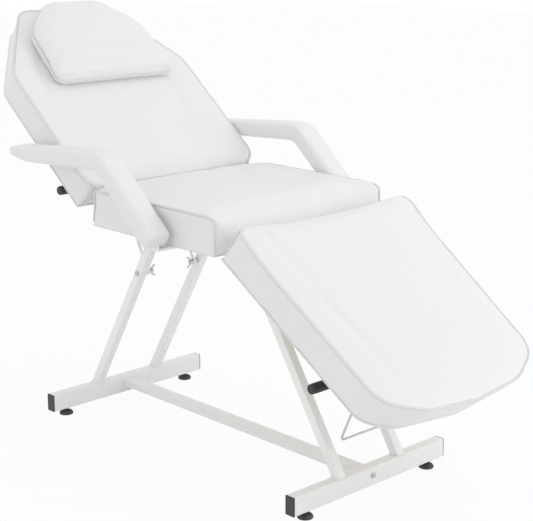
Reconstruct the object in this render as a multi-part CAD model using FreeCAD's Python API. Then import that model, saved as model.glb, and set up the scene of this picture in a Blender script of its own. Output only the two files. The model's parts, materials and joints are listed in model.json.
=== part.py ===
"""Three-section facial and massage bed: millimetres, +Z up, +X towards the foot end.

The left side of a person lying on the bed is +Y. Each section of the bed is drawn level,
with its hinge pin at the origin, and is then turned about +Y to its resting angle.
"""
import FreeCAD, Part
import math
import os
from FreeCAD import Placement, Rotation, Vector

# Base
base_length = 985.0
crossbar_length = 560.0
crossbar_height = 50.0
crossbar_depth = 30.0
crossbar_corner = 3.0
tube_wall = 1.5
cap_plate = 4.0
cap_plug = 14.0
rail_cap_plate = 2.5
tie_bar_width = 40.0
tie_bar_height = 20.0
tie_bar_drop = 22.5
tie_bolt_radius = 4.0
tie_nut_length = 18.0

# Levelling feet
foot_clearance = 20.0
foot_radius = 20.0
foot_rim = 5.0
foot_chamfer = 1.0
foot_dome = 13.0
foot_spacing = 452.0
foot_stud_radius = 4.0
foot_stud_length = 42.0
foot_insert_radius = 7.0
foot_insert_length = 18.0

# Legs and seat frame
leg_size = 25.0
leg_corner = 2.0
leg_spread = 218.0
rear_leg_top = -189.0
front_leg_top = 160.0
rail_top = 617.0
rail_rear = -232.0
rail_front = 240.0

# Upholstery
board_thickness = 15.0
board_inset = 8.0
seat_rear = -237.0
seat_front = 258.0
seat_half_width = 304.0
seat_height = 97.0
crown_height = 13.0
crown_reach = 80.0
side_draw = 6.0
corner_radius = 12.0
crown_bands = 5
side_bands = 4

# Backrest
backrest_angle = 39.0
backrest_pin_gap = 2.0
backrest_pin_drop = 19.0
backrest_length = 674.0
backrest_half_width = 307.0
backrest_shoulder = 442.0
backrest_head_half_width = 153.0
backrest_shoulder_radius = 90.0
backrest_head_radius = 60.0
backrest_thickness = 83.0
backrest_seam = 23.0
backrest_down = 39.0
backrest_up = 8.0

# Leg rest
leg_rest_angle = 35.0
leg_rest_pin_drop = 5.0
leg_rest_start = 4.0
leg_rest_length = 622.0
leg_rest_half_width = 305.0
leg_rest_foot_half_width = 281.0
leg_rest_corner_back = 74.0
leg_rest_end_half_width = 165.0
leg_rest_end_bow = 15.0
leg_rest_foot_radius = 80.0
leg_rest_end_radius = 110.0
leg_rest_thickness = 89.0
leg_rest_toe_draw = 24.0
leg_rest_up = 35.0
leg_rest_down = 10.0

# Moving rails, hinges and racks
hinge_plate = 5.0
hinge_gap = 1.0
hinge_eye_radius = 8.0
hinge_pin_radius = 4.0
running_clearance = 0.05
hole_clearance = 0.2
rack_clearance = 0.8
notch_depth = 5.0
notch_pitch = 24.0
hinge_plate_gap = 6.0

# Struts and bail
strut_pivot_height = 445.0
strut_rod_radius = 4.0
strut_eye_radius = 8.5
strut_eye_half_width = 5.0
strut_bar_radius = 6.0
strut_rail_gap = 20.0
strut_bolt_radius = 4.0
backrest_strut_length = 270.0
backrest_strut_spread = 170.0
backrest_strut_ratio = 0.70
leg_rest_strut_length = 324.0
leg_rest_strut_spread = 140.0
leg_rest_strut_ratio = 1.17
grip_radius = 12.0
grip_length = 62.0
grip_end = 287.0
bail_wire_radius = 3.0
bail_eye_half_width = 4.0
bail_spread = 172.0
bail_length = 225.0
bail_lean = 24.0
bail_corner = 16.0
wing_span = 34.0
wing_hub_radius = 7.5
wing_hub_length = 11.0
wing_thickness = 3.0
bolt_head_radius = 7.0
bolt_head_length = 5.0

# Armrests
armrest_offset = 350.0
armrest_width = 70.0
armrest_thickness = 52.0
armrest_tail_thickness = 36.0
armrest_edge = 16.0
armrest_end_radius = 17.0
armrest_corner_x = -101.0
armrest_corner_z = 814.0
armrest_bend_radius = 62.0
armrest_slope = 41.5
armrest_post_length = 275.0
armrest_tail_length = 398.0
armrest_tail_slope = 3.8
armrest_core_thickness = 15.0
armrest_core_height = 26.0
armrest_core_margin = 34.0
armrest_core_end = 20.0
bracket_width = 40.0
bracket_thickness = 6.0
bracket_rise = 46.0

# Pillow
pillow_lower = 363.0
pillow_upper = 668.0
pillow_half_width = 209.0
pillow_head_half_width = 92.0
pillow_thickness = 56.0
pillow_lip = 9.0
pillow_round = 46.0
pillow_front_slope = 53.0
pillow_bands = 5
pillow_seat_gap = 0.3

# Places that follow from the sizes above
crossbar_x = base_length / 2
crossbar_top = foot_clearance + crossbar_height
tie_z = crossbar_top - tie_bar_drop
leg_y = leg_spread / 2
half_leg = leg_size / 2
rail_bottom = rail_top - leg_size
rail_outer = leg_y + half_leg
seat_seam = rail_top + seat_height
backrest_lower = hinge_eye_radius + backrest_pin_gap
backrest_pin = Vector(seat_rear - backrest_lower, 0, seat_seam - backrest_pin_drop)
backrest_under = backrest_seam - backrest_thickness
leg_rest_pin = Vector(seat_front - side_draw / 2 + hinge_eye_radius, 0, rail_top - leg_rest_pin_drop)
leg_rest_under = half_leg
leg_rest_seam = leg_rest_under + leg_rest_thickness
lug_y = rail_outer
moving_rail_inner = lug_y + 2 * hinge_plate + hinge_gap
plate_y = moving_rail_inner - hinge_plate
strut_drop = leg_size + strut_rail_gap
rack_lead = 1.6 * strut_bar_radius
rail_reach = {"backrest": backrest_lower + backrest_length * 0.75, "leg_rest": leg_rest_length * 0.8}
Y_AXIS = Vector(0, 1, 0)
nodes = {}


def node(name, *solids):
    """Keep the solids of one named piece."""
    nodes[name] = list(solids)


def mirrored(shape):
    """The same piece on the other side of the bed."""
    return shape.mirror(Vector(0, 0, 0), Y_AXIS)


def pair(shape):
    """A piece on the left and its mirror image on the right."""
    return [shape, mirrored(shape)]


def box(x0, x1, y0, y1, z0, z1):
    return Part.makeBox(x1 - x0, y1 - y0, z1 - z0, Vector(x0, y0, z0))


def rod(start, end, radius):
    """A round bar between two points."""
    run = end - start
    return Part.makeCylinder(radius, run.Length, start, run)


def cross_rod(x, y0, y1, z, radius):
    """A round bar along Y."""
    return rod(Vector(x, y0, z), Vector(x, y1, z), radius)


def turned(shape, pin, angle):
    """Move a piece drawn level about its pin to its resting place."""
    copy = shape.copy()
    copy.Placement = Placement(pin, Rotation(Y_AXIS, angle)).multiply(copy.Placement)
    return copy


def at_pin(pin, angle, x, z):
    """The resting place of a point drawn level about a pin."""
    return pin + Rotation(Y_AXIS, angle).multVec(Vector(x, 0, z))


def rounded_polygon(points, radii, z):
    """A closed wire of lines and corner arcs through points given anticlockwise."""
    corners = []
    count = len(points)
    for index, (x, y) in enumerate(points):
        here = Vector(x, y, z)
        before = Vector(*points[index - 1], z)
        after = Vector(*points[(index + 1) % count], z)
        arrive = (here - before).normalize()
        leave = (after - here).normalize()
        half_turn = arrive.getAngle(leave) / 2
        reach = radii[index] * math.tan(half_turn)
        inward = (leave - arrive).normalize()
        middle = here + inward * (radii[index] / math.cos(half_turn) - radii[index])
        corners.append((here - arrive * reach, middle, here + leave * reach))
    edges = []
    for index, (start, middle, end) in enumerate(corners):
        edges.append(Part.LineSegment(corners[index - 1][2], start).toShape())
        edges.append(Part.Arc(start, middle, end).toShape())
    return Part.Wire(edges)


def inset_polygon(points, distances):
    """Move each side of a convex polygon inwards by its own distance."""
    count = len(points)
    sides = []
    for index in range(count):
        start = Vector(*points[index], 0)
        along = (Vector(*points[(index + 1) % count], 0) - start).normalize()
        sides.append((start + Vector(-along.y, along.x, 0) * distances[index], along))
    moved = []
    for index in range(count):
        base, along = sides[index - 1]
        other, across = sides[index]
        cross = along.x * across.y - along.y * across.x
        gap = other - base
        step = (gap.x * across.y - gap.y * across.x) / cross
        corner = base + along * step
        moved.append((corner.x, corner.y))
    return moved


def section(points, radii, insets, z):
    """A pad's outline at one height, with each side drawn in by its own inset."""
    moved = inset_polygon(points, insets)
    return rounded_polygon(moved, [max(r - inset, r / 3) for r, inset in zip(radii, insets)], z)


def crown_sections(points, radii, seam, shares):
    """Outlines that rise from the seam in a quarter ellipse."""
    wires = []
    for step in range(crown_bands + 1):
        turn = math.radians(90) * step / crown_bands
        inset = crown_reach * (1 - math.cos(turn))
        wires.append(section(points, radii, [inset * share for share in shares],
                             seam + crown_height * math.sin(turn)))
    return wires


def side_sections(points, radii, bottom, seam, draws):
    """Outlines of the drawn-in side wall, from the board up to the seam."""
    wires = []
    for step in range(side_bands + 1):
        share = step / side_bands
        hollow = side_draw * (0.5 + 2.5 * share - 3 * share ** 2)
        insets = [hollow + draw * (1 - share) ** 2 for draw in draws]
        wires.append(section(points, radii, insets, bottom + (seam - bottom) * share))
    return wires


def pad(points, radii, bottom, seam, shares, draws):
    """A pad with drawn-in sides below its seam and a crown above it."""
    lower = Part.makeLoft(side_sections(points, radii, bottom, seam, draws), True, True)
    upper = Part.makeLoft(crown_sections(points, radii, seam, shares), True, True)
    return lower.fuse(upper).removeSplitter()


def board(points, radii, bottom, draws):
    """The plywood panel under a pad, inside its wrapped sides."""
    outline = section(points, radii, [board_inset + draw for draw in draws], bottom)
    return Part.Face(outline).extrude(Vector(0, 0, board_thickness))


def rectangle(width, height):
    """Corners about the origin, anticlockwise."""
    x = width / 2
    y = height / 2
    return [(-x, -y), (x, -y), (x, y), (-x, y)]


def tube_section(width, height, corner):
    """A tube's rounded outline about the origin."""
    return rounded_polygon(rectangle(width, height), [corner] * 4, 0)


def bore_section(width, height, inset):
    """The square-cornered outline inside a tube, or of a plug that fits there."""
    corners = [Vector(x, y, 0) for x, y in rectangle(width - 2 * inset, height - 2 * inset)]
    return Part.makePolygon(corners + corners[:1])


def tube(start, end, width, height, corner):
    """A hollow tube between two points, with its width along Y or, for a bar along Y, along X."""
    run = end - start
    sideways = Vector(1, 0, 0) if abs(run.y) > 0.9 * run.Length else Y_AXIS
    outer = Part.Face(tube_section(width, height, corner))
    hollow = Part.Face(bore_section(width, height, tube_wall))
    bar = outer.cut(hollow).extrude(Vector(0, 0, run.Length))
    bar.Placement = Placement(start, Rotation(sideways, Vector(), run, "ZXY"))
    return bar.Solids[0]


def hex_head(base, along):
    """A six-sided bolt head that stands on a face, along a direction."""
    points = []
    for index in range(6):
        turn = math.radians(60 * index)
        points.append(Vector(bolt_head_radius * math.cos(turn), bolt_head_radius * math.sin(turn), 0))
    head = Part.Face(Part.makePolygon(points + points[:1])).extrude(Vector(0, 0, bolt_head_length))
    head.Placement = Placement(base, Rotation(Vector(0, 0, 1), along))
    return head


def build_crossbar(name, x):
    """A base crossbar with the holes for its feet and for the tie bar's bolt."""
    inner_end = crossbar_length / 2 - cap_plate
    middle = foot_clearance + crossbar_height / 2
    bar = tube(Vector(x, -inner_end, middle), Vector(x, inner_end, middle),
               crossbar_depth, crossbar_height, crossbar_corner)
    for side in (-1, 1):
        y = side * foot_spacing / 2
        low = Vector(x, y, foot_clearance - tube_wall)
        bar = bar.cut(rod(low, low + Vector(0, 0, 3 * tube_wall), foot_insert_radius))
    bolt = rod(Vector(x - crossbar_depth, 0, tie_z), Vector(x + crossbar_depth, 0, tie_z),
               tie_bolt_radius + hole_clearance)
    node(name, bar.cut(bolt))


def tube_cap(width, height, corner, plate, place, outward, sideways):
    """A plastic cap on a tube's end: a chamfered plate and a plug inside the tube."""
    face = Part.Face(tube_section(width, height, corner)).extrude(Vector(0, 0, plate))
    rim = [edge for edge in face.Edges if all(abs(v.Z - plate) < 1e-6 for v in edge.Vertexes)]
    face = face.makeChamfer(plate * 0.4, rim)
    plug = Part.Face(bore_section(width, height, tube_wall + hole_clearance))
    cap = face.fuse(plug.extrude(Vector(0, 0, -cap_plug)))
    cap.Placement = Placement(place, Rotation(sideways, Vector(), outward, "ZXY"))
    return cap


def end_caps(x):
    """Caps in both ends of a crossbar."""
    place = Vector(x, crossbar_length / 2 - cap_plate, foot_clearance + crossbar_height / 2)
    return pair(tube_cap(crossbar_depth, crossbar_height, crossbar_corner, cap_plate, place,
                         Y_AXIS, Vector(1, 0, 0)))


def rail_caps(start, end, y, z):
    """Caps in both ends of a rail along X, and of its mirror image."""
    caps = []
    for x in (start, end):
        outward = Vector(math.copysign(1, 2 * x - start - end), 0, 0)
        place = Vector(x, y, z)
        caps += pair(tube_cap(leg_size, leg_size, leg_corner, rail_cap_plate, place, outward, Y_AXIS))
    return caps


def build_base():
    """Crossbars, end caps and the tie bar that bolts between them."""
    build_crossbar("rear_crossbar", -crossbar_x)
    build_crossbar("front_crossbar", crossbar_x)
    node("crossbar_end_caps", *end_caps(-crossbar_x), *end_caps(crossbar_x))
    inner = crossbar_x - crossbar_depth / 2
    node("tie_bar", tube(Vector(-inner, 0, tie_z), Vector(inner, 0, tie_z),
                         tie_bar_width, tie_bar_height, leg_corner))
    nuts = []
    bolts = []
    for side in (-1, 1):
        slack = tube_wall + hole_clearance
        block = Part.Face(bore_section(tie_bar_width, tie_bar_height, slack))
        block = block.extrude(Vector(0, 0, tie_nut_length))
        block.Placement = Placement(Vector(side * inner, 0, tie_z),
                                    Rotation(Y_AXIS, Vector(), Vector(-side, 0, 0), "ZXY"))
        outer = Vector(side * (crossbar_x + crossbar_depth / 2), 0, tie_z)
        shank = rod(outer, Vector(side * (inner - tie_nut_length), 0, tie_z), tie_bolt_radius)
        bolts.append(hex_head(outer, Vector(side, 0, 0)).fuse(shank))
        nuts.append(block.cut(rod(Vector(-2 * crossbar_x, 0, tie_z), Vector(2 * crossbar_x, 0, tie_z),
                                  tie_bolt_radius + hole_clearance)))
    node("tie_bar_bolts", *bolts)
    node("tie_bar_nuts", *nuts)


def build_feet():
    """Levelling feet on studs, and the threaded inserts that hold them."""
    inserts = []
    for end, end_name in ((-1, "rear"), (1, "front")):
        for side, side_name in ((1, "left"), (-1, "right")):
            x = end * crossbar_x
            y = side * foot_spacing / 2
            neck = foot_stud_radius * 2
            shoulder = (foot_rim + foot_dome) / 2
            outline = [(0, 0), (foot_radius - foot_chamfer, 0), (foot_radius, foot_chamfer),
                       (foot_radius, foot_rim), (foot_radius * 0.85, shoulder),
                       (neck, foot_dome), (0, foot_dome)]
            profile = plate_face(outline)
            base = profile.revolve(Vector(0, 0, 0), Vector(0, 0, 1), 360)
            base.translate(Vector(x, y, 0))
            stud = rod(Vector(x, y, foot_dome), Vector(x, y, foot_dome + foot_stud_length), foot_stud_radius)
            node("levelling_foot_%s_%s" % (end_name, side_name), base.fuse(stud))
            sleeve = rod(Vector(x, y, foot_clearance), Vector(x, y, foot_clearance + foot_insert_length),
                         foot_insert_radius)
            inserts.append(sleeve.cut(rod(Vector(x, y, 0), Vector(x, y, crossbar_top),
                                          foot_stud_radius + running_clearance)))
    node("foot_inserts", *inserts)


def leg_line(end):
    """Foot and top of a leg's centre line, at the crossbar and under the seat rail."""
    top = rear_leg_top if end < 0 else front_leg_top
    return Vector(end * crossbar_x, 0, crossbar_top), Vector(top, 0, rail_bottom)


def strut_pivot(end):
    """The strut bolt's place on a leg's centre line."""
    low, high = leg_line(end)
    share = (strut_pivot_height - crossbar_top) / (rail_bottom - crossbar_top)
    return low + (high - low) * share


def build_legs():
    """Leaning square tubes from the crossbars to the seat rails, with their strut bolts."""
    slab = box(-base_length, base_length, -base_length, base_length, crossbar_top, rail_bottom)
    for end, end_name, spread in ((-1, "rear", backrest_strut_spread), (1, "front", leg_rest_strut_spread)):
        low, high = leg_line(end)
        over = (high - low).normalize() * leg_size
        shift = Vector(0, leg_y, 0)
        bar = tube(low - over + shift, high + over + shift, leg_size, leg_size, leg_corner).common(slab)
        pivot = strut_pivot(end)
        hole = cross_rod(pivot.x, 0, 2 * leg_y, pivot.z, strut_bolt_radius + hole_clearance)
        left = bar.cut(hole)
        node("%s_leg_left" % end_name, left)
        node("%s_leg_right" % end_name, mirrored(left))
        build_pivot_hardware(end_name, pivot, spread / 2)


def build_pivot_hardware(end_name, pivot, rod_y):
    """Bolt, spacer and wing nut that carry one end of a strut rod on a leg."""
    eye_outer = rod_y + strut_eye_half_width
    eye_inner = rod_y - strut_eye_half_width
    leg_inner = leg_y - half_leg
    leg_outer = leg_y + half_leg
    nut_face = eye_inner - hinge_gap
    shank = cross_rod(pivot.x, nut_face - wing_hub_length - 2, leg_outer, pivot.z, strut_bolt_radius)
    bolt = hex_head(Vector(pivot.x, leg_outer, pivot.z), Y_AXIS).fuse(shank)
    spacer = cross_rod(pivot.x, eye_outer + hinge_gap, leg_inner, pivot.z, strut_eye_radius * 0.8)
    bore = cross_rod(pivot.x, 0, leg_outer, pivot.z, strut_bolt_radius + hole_clearance)
    hub = Part.makeCone(wing_hub_radius, wing_hub_radius * 0.75, wing_hub_length,
                        Vector(pivot.x, nut_face, pivot.z), Vector(0, -1, 0))
    nut = hub
    for side in (-1, 1):
        nut = nut.fuse(wing(pivot, nut_face, side))
    node("%s_strut_bolts" % end_name, *pair(bolt))
    node("%s_strut_spacers" % end_name, *pair(spacer.cut(bore)))
    node("%s_wing_nuts" % end_name, *pair(nut.cut(bore)))


def wing(pivot, face, side):
    """One ear of a wing nut, leaning away from the nut's face."""
    inner = wing_hub_radius * 0.6
    reach = wing_span / 2
    tip = wing_hub_length * 1.9
    outline = [(inner, -1.0), (reach * 0.75, -wing_hub_length * 0.9), (reach, -tip * 0.85),
               (reach * 0.8, -tip), (reach * 0.45, -wing_hub_length * 1.1), (inner, -wing_hub_length * 0.9)]
    points = [Vector(pivot.x - wing_thickness / 2, face + b, pivot.z + side * a) for a, b in outline]
    ear = Part.Face(Part.makePolygon(points + points[:1])).extrude(Vector(wing_thickness, 0, 0))
    return ear


def build_seat_frame():
    """Rails on the legs, cross rails between them and the hinge lugs welded to their sides."""
    middle = rail_top - half_leg
    rail = tube(Vector(rail_rear, leg_y, middle), Vector(rail_front, leg_y, middle),
                leg_size, leg_size, leg_corner)
    node("seat_rail_left", rail)
    node("seat_rail_right", mirrored(rail))
    node("seat_rail_caps", *rail_caps(rail_rear, rail_front, leg_y, middle))
    inner = leg_y - half_leg
    for name, x in (("rear_cross_rail", rear_leg_top), ("front_cross_rail", front_leg_top)):
        node(name, tube(Vector(x, -inner, middle), Vector(x, inner, middle), leg_size, leg_size, leg_corner))
    rear_lug = hinge_leaf(backrest_pin, rail_rear - 1, rail_rear + 2 * leg_size, rail_bottom, rail_top)
    front_lug = hinge_leaf(leg_rest_pin, rail_front - 2 * leg_size, rail_front + 1, rail_bottom, rail_top)
    node("backrest_hinge_lugs", *pair(lift(rear_lug, lug_y, backrest_pin)))
    node("leg_rest_hinge_lugs", *pair(lift(front_lug, lug_y, leg_rest_pin)))
    node("backrest_hinge_pins", *pair(hinge_pin(backrest_pin)))
    node("leg_rest_hinge_pins", *pair(hinge_pin(leg_rest_pin)))


def hinge_leaf(pin, x0, x1, z0, z1):
    """The outline of a hinge plate: a strip on a rail and an arm that ends round about its pin."""
    reach = hinge_eye_radius
    arm = [pin.x - reach, pin.x + reach, min(pin.z, z0), max(pin.z, z1)]
    if z0 <= pin.z <= z1:
        arm = [min(pin.x, x0), max(pin.x, x1), max(pin.z - reach, z0), min(pin.z + reach, z1)]
    else:
        x0 = min(x0, pin.x - reach)
        x1 = max(x1, pin.x + reach)
        arm[3] = pin.z
    strip = plate_face([(x0, z0), (x1, z0), (x1, z1), (x0, z1)])
    arm = plate_face([(arm[0], arm[2]), (arm[1], arm[2]), (arm[1], arm[3]), (arm[0], arm[3])])
    eye = Part.Face(Part.Wire(Part.makeCircle(reach, Vector(pin.x, 0, pin.z), Y_AXIS)))
    return strip.fuse(arm).fuse(eye).removeSplitter()


def plate_face(points):
    """A flat face in the plane of the side view."""
    corners = [Vector(x, 0, z) for x, z in points]
    return Part.Face(Part.makePolygon(corners + corners[:1]))


def lift(face, y, pin):
    """Give a hinge plate its thickness, its place across the bed and its bore."""
    plate = face.extrude(Vector(0, hinge_plate, 0))
    plate.translate(Vector(0, y, 0))
    bore = cross_rod(pin.x, 0, 2 * y, pin.z, hinge_pin_radius + running_clearance)
    return plate.cut(bore).Solids[0]


def hinge_pin(pin):
    """A headed pin through a lug and a hinge plate, with a nut on its inner end."""
    outer = plate_y + hinge_plate + hinge_gap / 2
    shank = cross_rod(pin.x, lug_y, outer, pin.z, hinge_pin_radius)
    head = hex_head(Vector(pin.x, outer, pin.z), Y_AXIS)
    nut = hex_head(Vector(pin.x, lug_y, pin.z), Y_AXIS * -1)
    return shank.fuse(head).fuse(nut)


def seat_outline():
    """The seat's corners and their radii."""
    points = [(seat_rear, -seat_half_width), (seat_front, -seat_half_width),
              (seat_front, seat_half_width), (seat_rear, seat_half_width)]
    return points, [corner_radius] * 4


def backrest_outline():
    """The backrest's corners, drawn level behind its pin, and their radii."""
    end = backrest_lower + backrest_length
    points = [(-backrest_lower, -backrest_half_width), (-backrest_lower, backrest_half_width),
              (-backrest_shoulder, backrest_half_width), (-end, backrest_head_half_width),
              (-end, -backrest_head_half_width), (-backrest_shoulder, -backrest_half_width)]
    radii = [corner_radius, corner_radius, backrest_shoulder_radius,
             backrest_head_radius, backrest_head_radius, backrest_shoulder_radius]
    return points, radii


def leg_rest_outline():
    """The leg rest's corners, drawn level before its pin, and their radii."""
    end = leg_rest_start + leg_rest_length
    points = [(leg_rest_start, -leg_rest_half_width), (end - leg_rest_corner_back, -leg_rest_foot_half_width),
              (end - leg_rest_end_bow, -leg_rest_end_half_width), (end, 0),
              (end - leg_rest_end_bow, leg_rest_end_half_width),
              (end - leg_rest_corner_back, leg_rest_foot_half_width), (leg_rest_start, leg_rest_half_width)]
    radii = [corner_radius, leg_rest_foot_radius, leg_rest_end_radius, leg_rest_end_radius,
             leg_rest_end_radius, leg_rest_foot_radius, corner_radius]
    return points, radii


def build_seat():
    """Seat board and cushion on the rails."""
    points, radii = seat_outline()
    front_heavy = [1.0, 1.6, 1.0, 1.0]
    upright = [0.0] * len(points)
    panel = board(points, radii, rail_top, upright)
    cushion = pad(points, radii, rail_top, seat_seam, front_heavy, upright).cut(panel)
    node("seat_board", panel)
    node("seat_cushion", cushion)


def local_path(pin, angle, pivot, start, ratio, turn):
    """Where a strut's crossbar lies, seen from its section, when the section has turned."""
    swing = Rotation(Y_AXIS, ratio * turn)
    bar = pivot + swing.multVec(start - pivot)
    return Rotation(Y_AXIS, -(angle + turn)).multVec(bar - pin)


def crossbar_rest(pin, angle, under, pivot, length, towards):
    """A strut's crossbar at rest, a set drop below the section's underside."""
    home = Rotation(Y_AXIS, -angle).multVec(pivot - pin)
    z = under - strut_drop
    x = home.x + towards * math.sqrt(length ** 2 - (z - home.z) ** 2)
    return at_pin(pin, angle, x, z)


def rack_span(path):
    """The two ends of a rack along its section."""
    return min(path[0].x, path[2].x) - rack_lead, max(path[0].x, path[2].x) + rack_lead


def rack_plate(path, under, rest):
    """A toothed plate whose tips follow a crossbar's path, just clear of it, with a notch at rest."""
    reach = strut_bar_radius + rack_clearance
    circle = Part.Arc(*path).toShape().Curve
    centre = circle.Center
    tips = circle.Radius - reach
    x0, x1 = rack_span(path)
    deep = centre.z - circle.Radius - 1
    blank = plate_face([(x0, deep), (x1, deep), (x1, under), (x0, under)])
    disc = Part.Face(Part.Wire(Part.makeCircle(tips, centre, Y_AXIS)))
    blank = blank.common(disc)
    count = int((x1 - x0 - 2 * rack_lead) / notch_pitch)
    for index in range(-count, count + 1):
        x = rest + index * notch_pitch
        if x0 + rack_lead < x < x1 - rack_lead:
            z = centre.z - math.sqrt(circle.Radius ** 2 - (x - centre.x) ** 2) + notch_depth
            blank = blank.cut(Part.Face(Part.Wire(Part.makeCircle(reach, Vector(x, 0, z), Y_AXIS))))
    return blank.Faces[0]


def section_hardware(name, pin, angle, under, towards, path, rest):
    """Rails, hinge plates that reach to the racks, and the racks under one hinged section."""
    rail_z = under - half_leg
    start = towards * 2 * hinge_eye_radius * 1.4
    end = towards * rail_reach[name]
    y = moving_rail_inner + half_leg
    rail = tube(Vector(start, y, rail_z), Vector(end, y, rail_z), leg_size, leg_size, leg_corner)
    plate_end = min(rack_span(path), key=abs) - towards * hinge_plate_gap
    leaf = hinge_leaf(Vector(0, 0, 0), min(0, plate_end), max(0, plate_end), under - leg_size, under)
    leaf = lift(leaf, plate_y, Vector(0, 0, 0))
    rack = rack_plate(path, under, rest).extrude(Vector(0, hinge_plate, 0))
    rack.translate(Vector(0, plate_y, 0))
    node("%s_rail_left" % name, turned(rail, pin, angle))
    node("%s_rail_right" % name, turned(mirrored(rail), pin, angle))
    node("%s_rail_caps" % name, *[turned(cap, pin, angle) for cap in rail_caps(start, end, y, rail_z)])
    node("%s_hinge_plates" % name, *[turned(shape, pin, angle) for shape in pair(leaf)])
    node("%s_racks" % name, *[turned(shape, pin, angle) for shape in pair(rack)])


def build_section(name, outline, pin, angle, under, seam, draws):
    """Board and cushion of one hinged section."""
    points, radii = outline
    even = [1.0] * len(points)
    panel = board(points, radii, under, draws)
    cushion = pad(points, radii, under, seam, even, draws).cut(panel)
    node("%s_board" % name, turned(panel, pin, angle))
    node("%s_cushion" % name, turned(cushion, pin, angle))


def build_strut(name, pivot, bar, spread):
    """Two rods with an eye at the leg and a long crossbar that ends in grips."""
    half = spread / 2
    run = (bar - pivot).normalize()
    grip_start = grip_end - grip_length
    core = strut_bar_radius
    frame = cross_rod(bar.x, -grip_end + core, grip_end - core, bar.z, core)
    for side in (-1, 1):
        shift = Vector(0, side * half, 0)
        arm = rod(pivot + run * strut_eye_radius * 0.8 + shift, bar + shift, strut_rod_radius)
        eye = cross_rod(pivot.x, side * half - strut_eye_half_width, side * half + strut_eye_half_width,
                        pivot.z, strut_eye_radius)
        frame = frame.fuse(arm).fuse(eye)
    bore = cross_rod(pivot.x, -half - leg_size, half + leg_size, pivot.z,
                     strut_bolt_radius + running_clearance)
    node(name, frame.cut(bore).removeSplitter())
    sleeve = cross_rod(bar.x, grip_start, grip_end, bar.z, grip_radius)
    rims = [edge for edge in sleeve.Edges if edge.Closed]
    sleeve = sleeve.makeChamfer(core / 3, rims)
    sleeve = sleeve.cut(cross_rod(bar.x, 0, grip_end - core, bar.z, core + hole_clearance))
    node("%s_grips" % name, *pair(sleeve))


def build_bail(bar):
    """A wire loop that hangs on the leg rest strut's crossbar by two eyes."""
    half = bail_spread / 2
    down = Rotation(Y_AXIS, bail_lean).multVec(Vector(0, 0, -1))
    ring = strut_bar_radius + running_clearance
    low = bar + down * bail_length
    drop = down * bail_corner
    left = Vector(0, half, 0)
    inset = Vector(0, half - bail_corner, 0)
    bend = 1 - math.sqrt(0.5)
    elbow = low - drop * bend + Vector(0, half - bail_corner * bend, 0)
    mirror_elbow = Vector(elbow.x, -elbow.y, elbow.z)
    top = bar + down * (ring + bail_wire_radius)
    route = Part.Wire([
        Part.LineSegment(top + left, low - drop + left).toShape(),
        Part.Arc(low - drop + left, elbow, low + inset).toShape(),
        Part.LineSegment(low + inset, low - inset).toShape(),
        Part.Arc(low - inset, mirror_elbow, low - drop - left).toShape(),
        Part.LineSegment(low - drop - left, top - left).toShape()])
    ring_face = Part.Wire(Part.makeCircle(bail_wire_radius, top + left, down))
    wire = route.makePipeShell([ring_face], True, False)
    for side in (-1, 1):
        y = side * half
        eye = cross_rod(bar.x, y - bail_eye_half_width, y + bail_eye_half_width, bar.z,
                        ring + bail_wire_radius)
        wire = wire.fuse(eye)
    hole = cross_rod(bar.x, -half - leg_size, half + leg_size, bar.z, ring)
    node("leg_rest_bail", wire.cut(hole).removeSplitter())


def armrest_path():
    """Corner, directions and bend of an armrest's centre line in the side view."""
    corner = Vector(armrest_corner_x, armrest_offset, armrest_corner_z)
    slope = math.radians(armrest_slope)
    fall = math.radians(armrest_tail_slope)
    down = Vector(math.cos(slope), 0, -math.sin(slope))
    back = Vector(-math.cos(fall), 0, -math.sin(fall))
    return corner, down, back


def armrest_form(width, thickness, tail_thickness, post, tail, end_radius):
    """A bar with an armrest's side view: a sloping post, a bend and a tapering level part."""
    corner, down, back = armrest_path()
    turn = math.pi - down.getAngle(back)
    outward = (down + back).normalize() * (-thickness / 2 / math.cos(turn / 2))
    across_post = Vector(-down.z, 0, down.x) * (thickness / 2)
    across_tail = Vector(back.z, 0, -back.x) * (tail_thickness / 2)
    post_end = corner + down * post
    tail_end = corner + back * tail
    places = [post_end - across_post, post_end + across_post, corner + outward,
              tail_end + across_tail, tail_end - across_tail, corner - outward]
    bend = armrest_bend_radius
    radii = [end_radius, end_radius, bend + thickness / 2, end_radius, end_radius, bend - thickness / 2]
    outline = rounded_polygon([(place.x, place.z) for place in places], radii, 0)
    bar = Part.Face(outline).extrude(Vector(0, 0, width))
    bar.Placement = Placement(Vector(0, armrest_offset + width / 2, 0), Rotation(Vector(1, 0, 0), 90))
    return bar


def soften(bar, width):
    """Round the long edges of an armrest."""
    sides = (armrest_offset - width / 2, armrest_offset + width / 2)
    rims = [edge for edge in bar.Edges
            if any(all(abs(v.Y - y) < 1e-6 for v in edge.Vertexes) for y in sides)]
    return bar.makeFillet(armrest_edge, rims)


def bracket_x():
    """The middle of an armrest bracket, at the foot of the armrest's post."""
    corner, down, back = armrest_path()
    return (corner + down * (armrest_post_length - armrest_core_margin)).x


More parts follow.
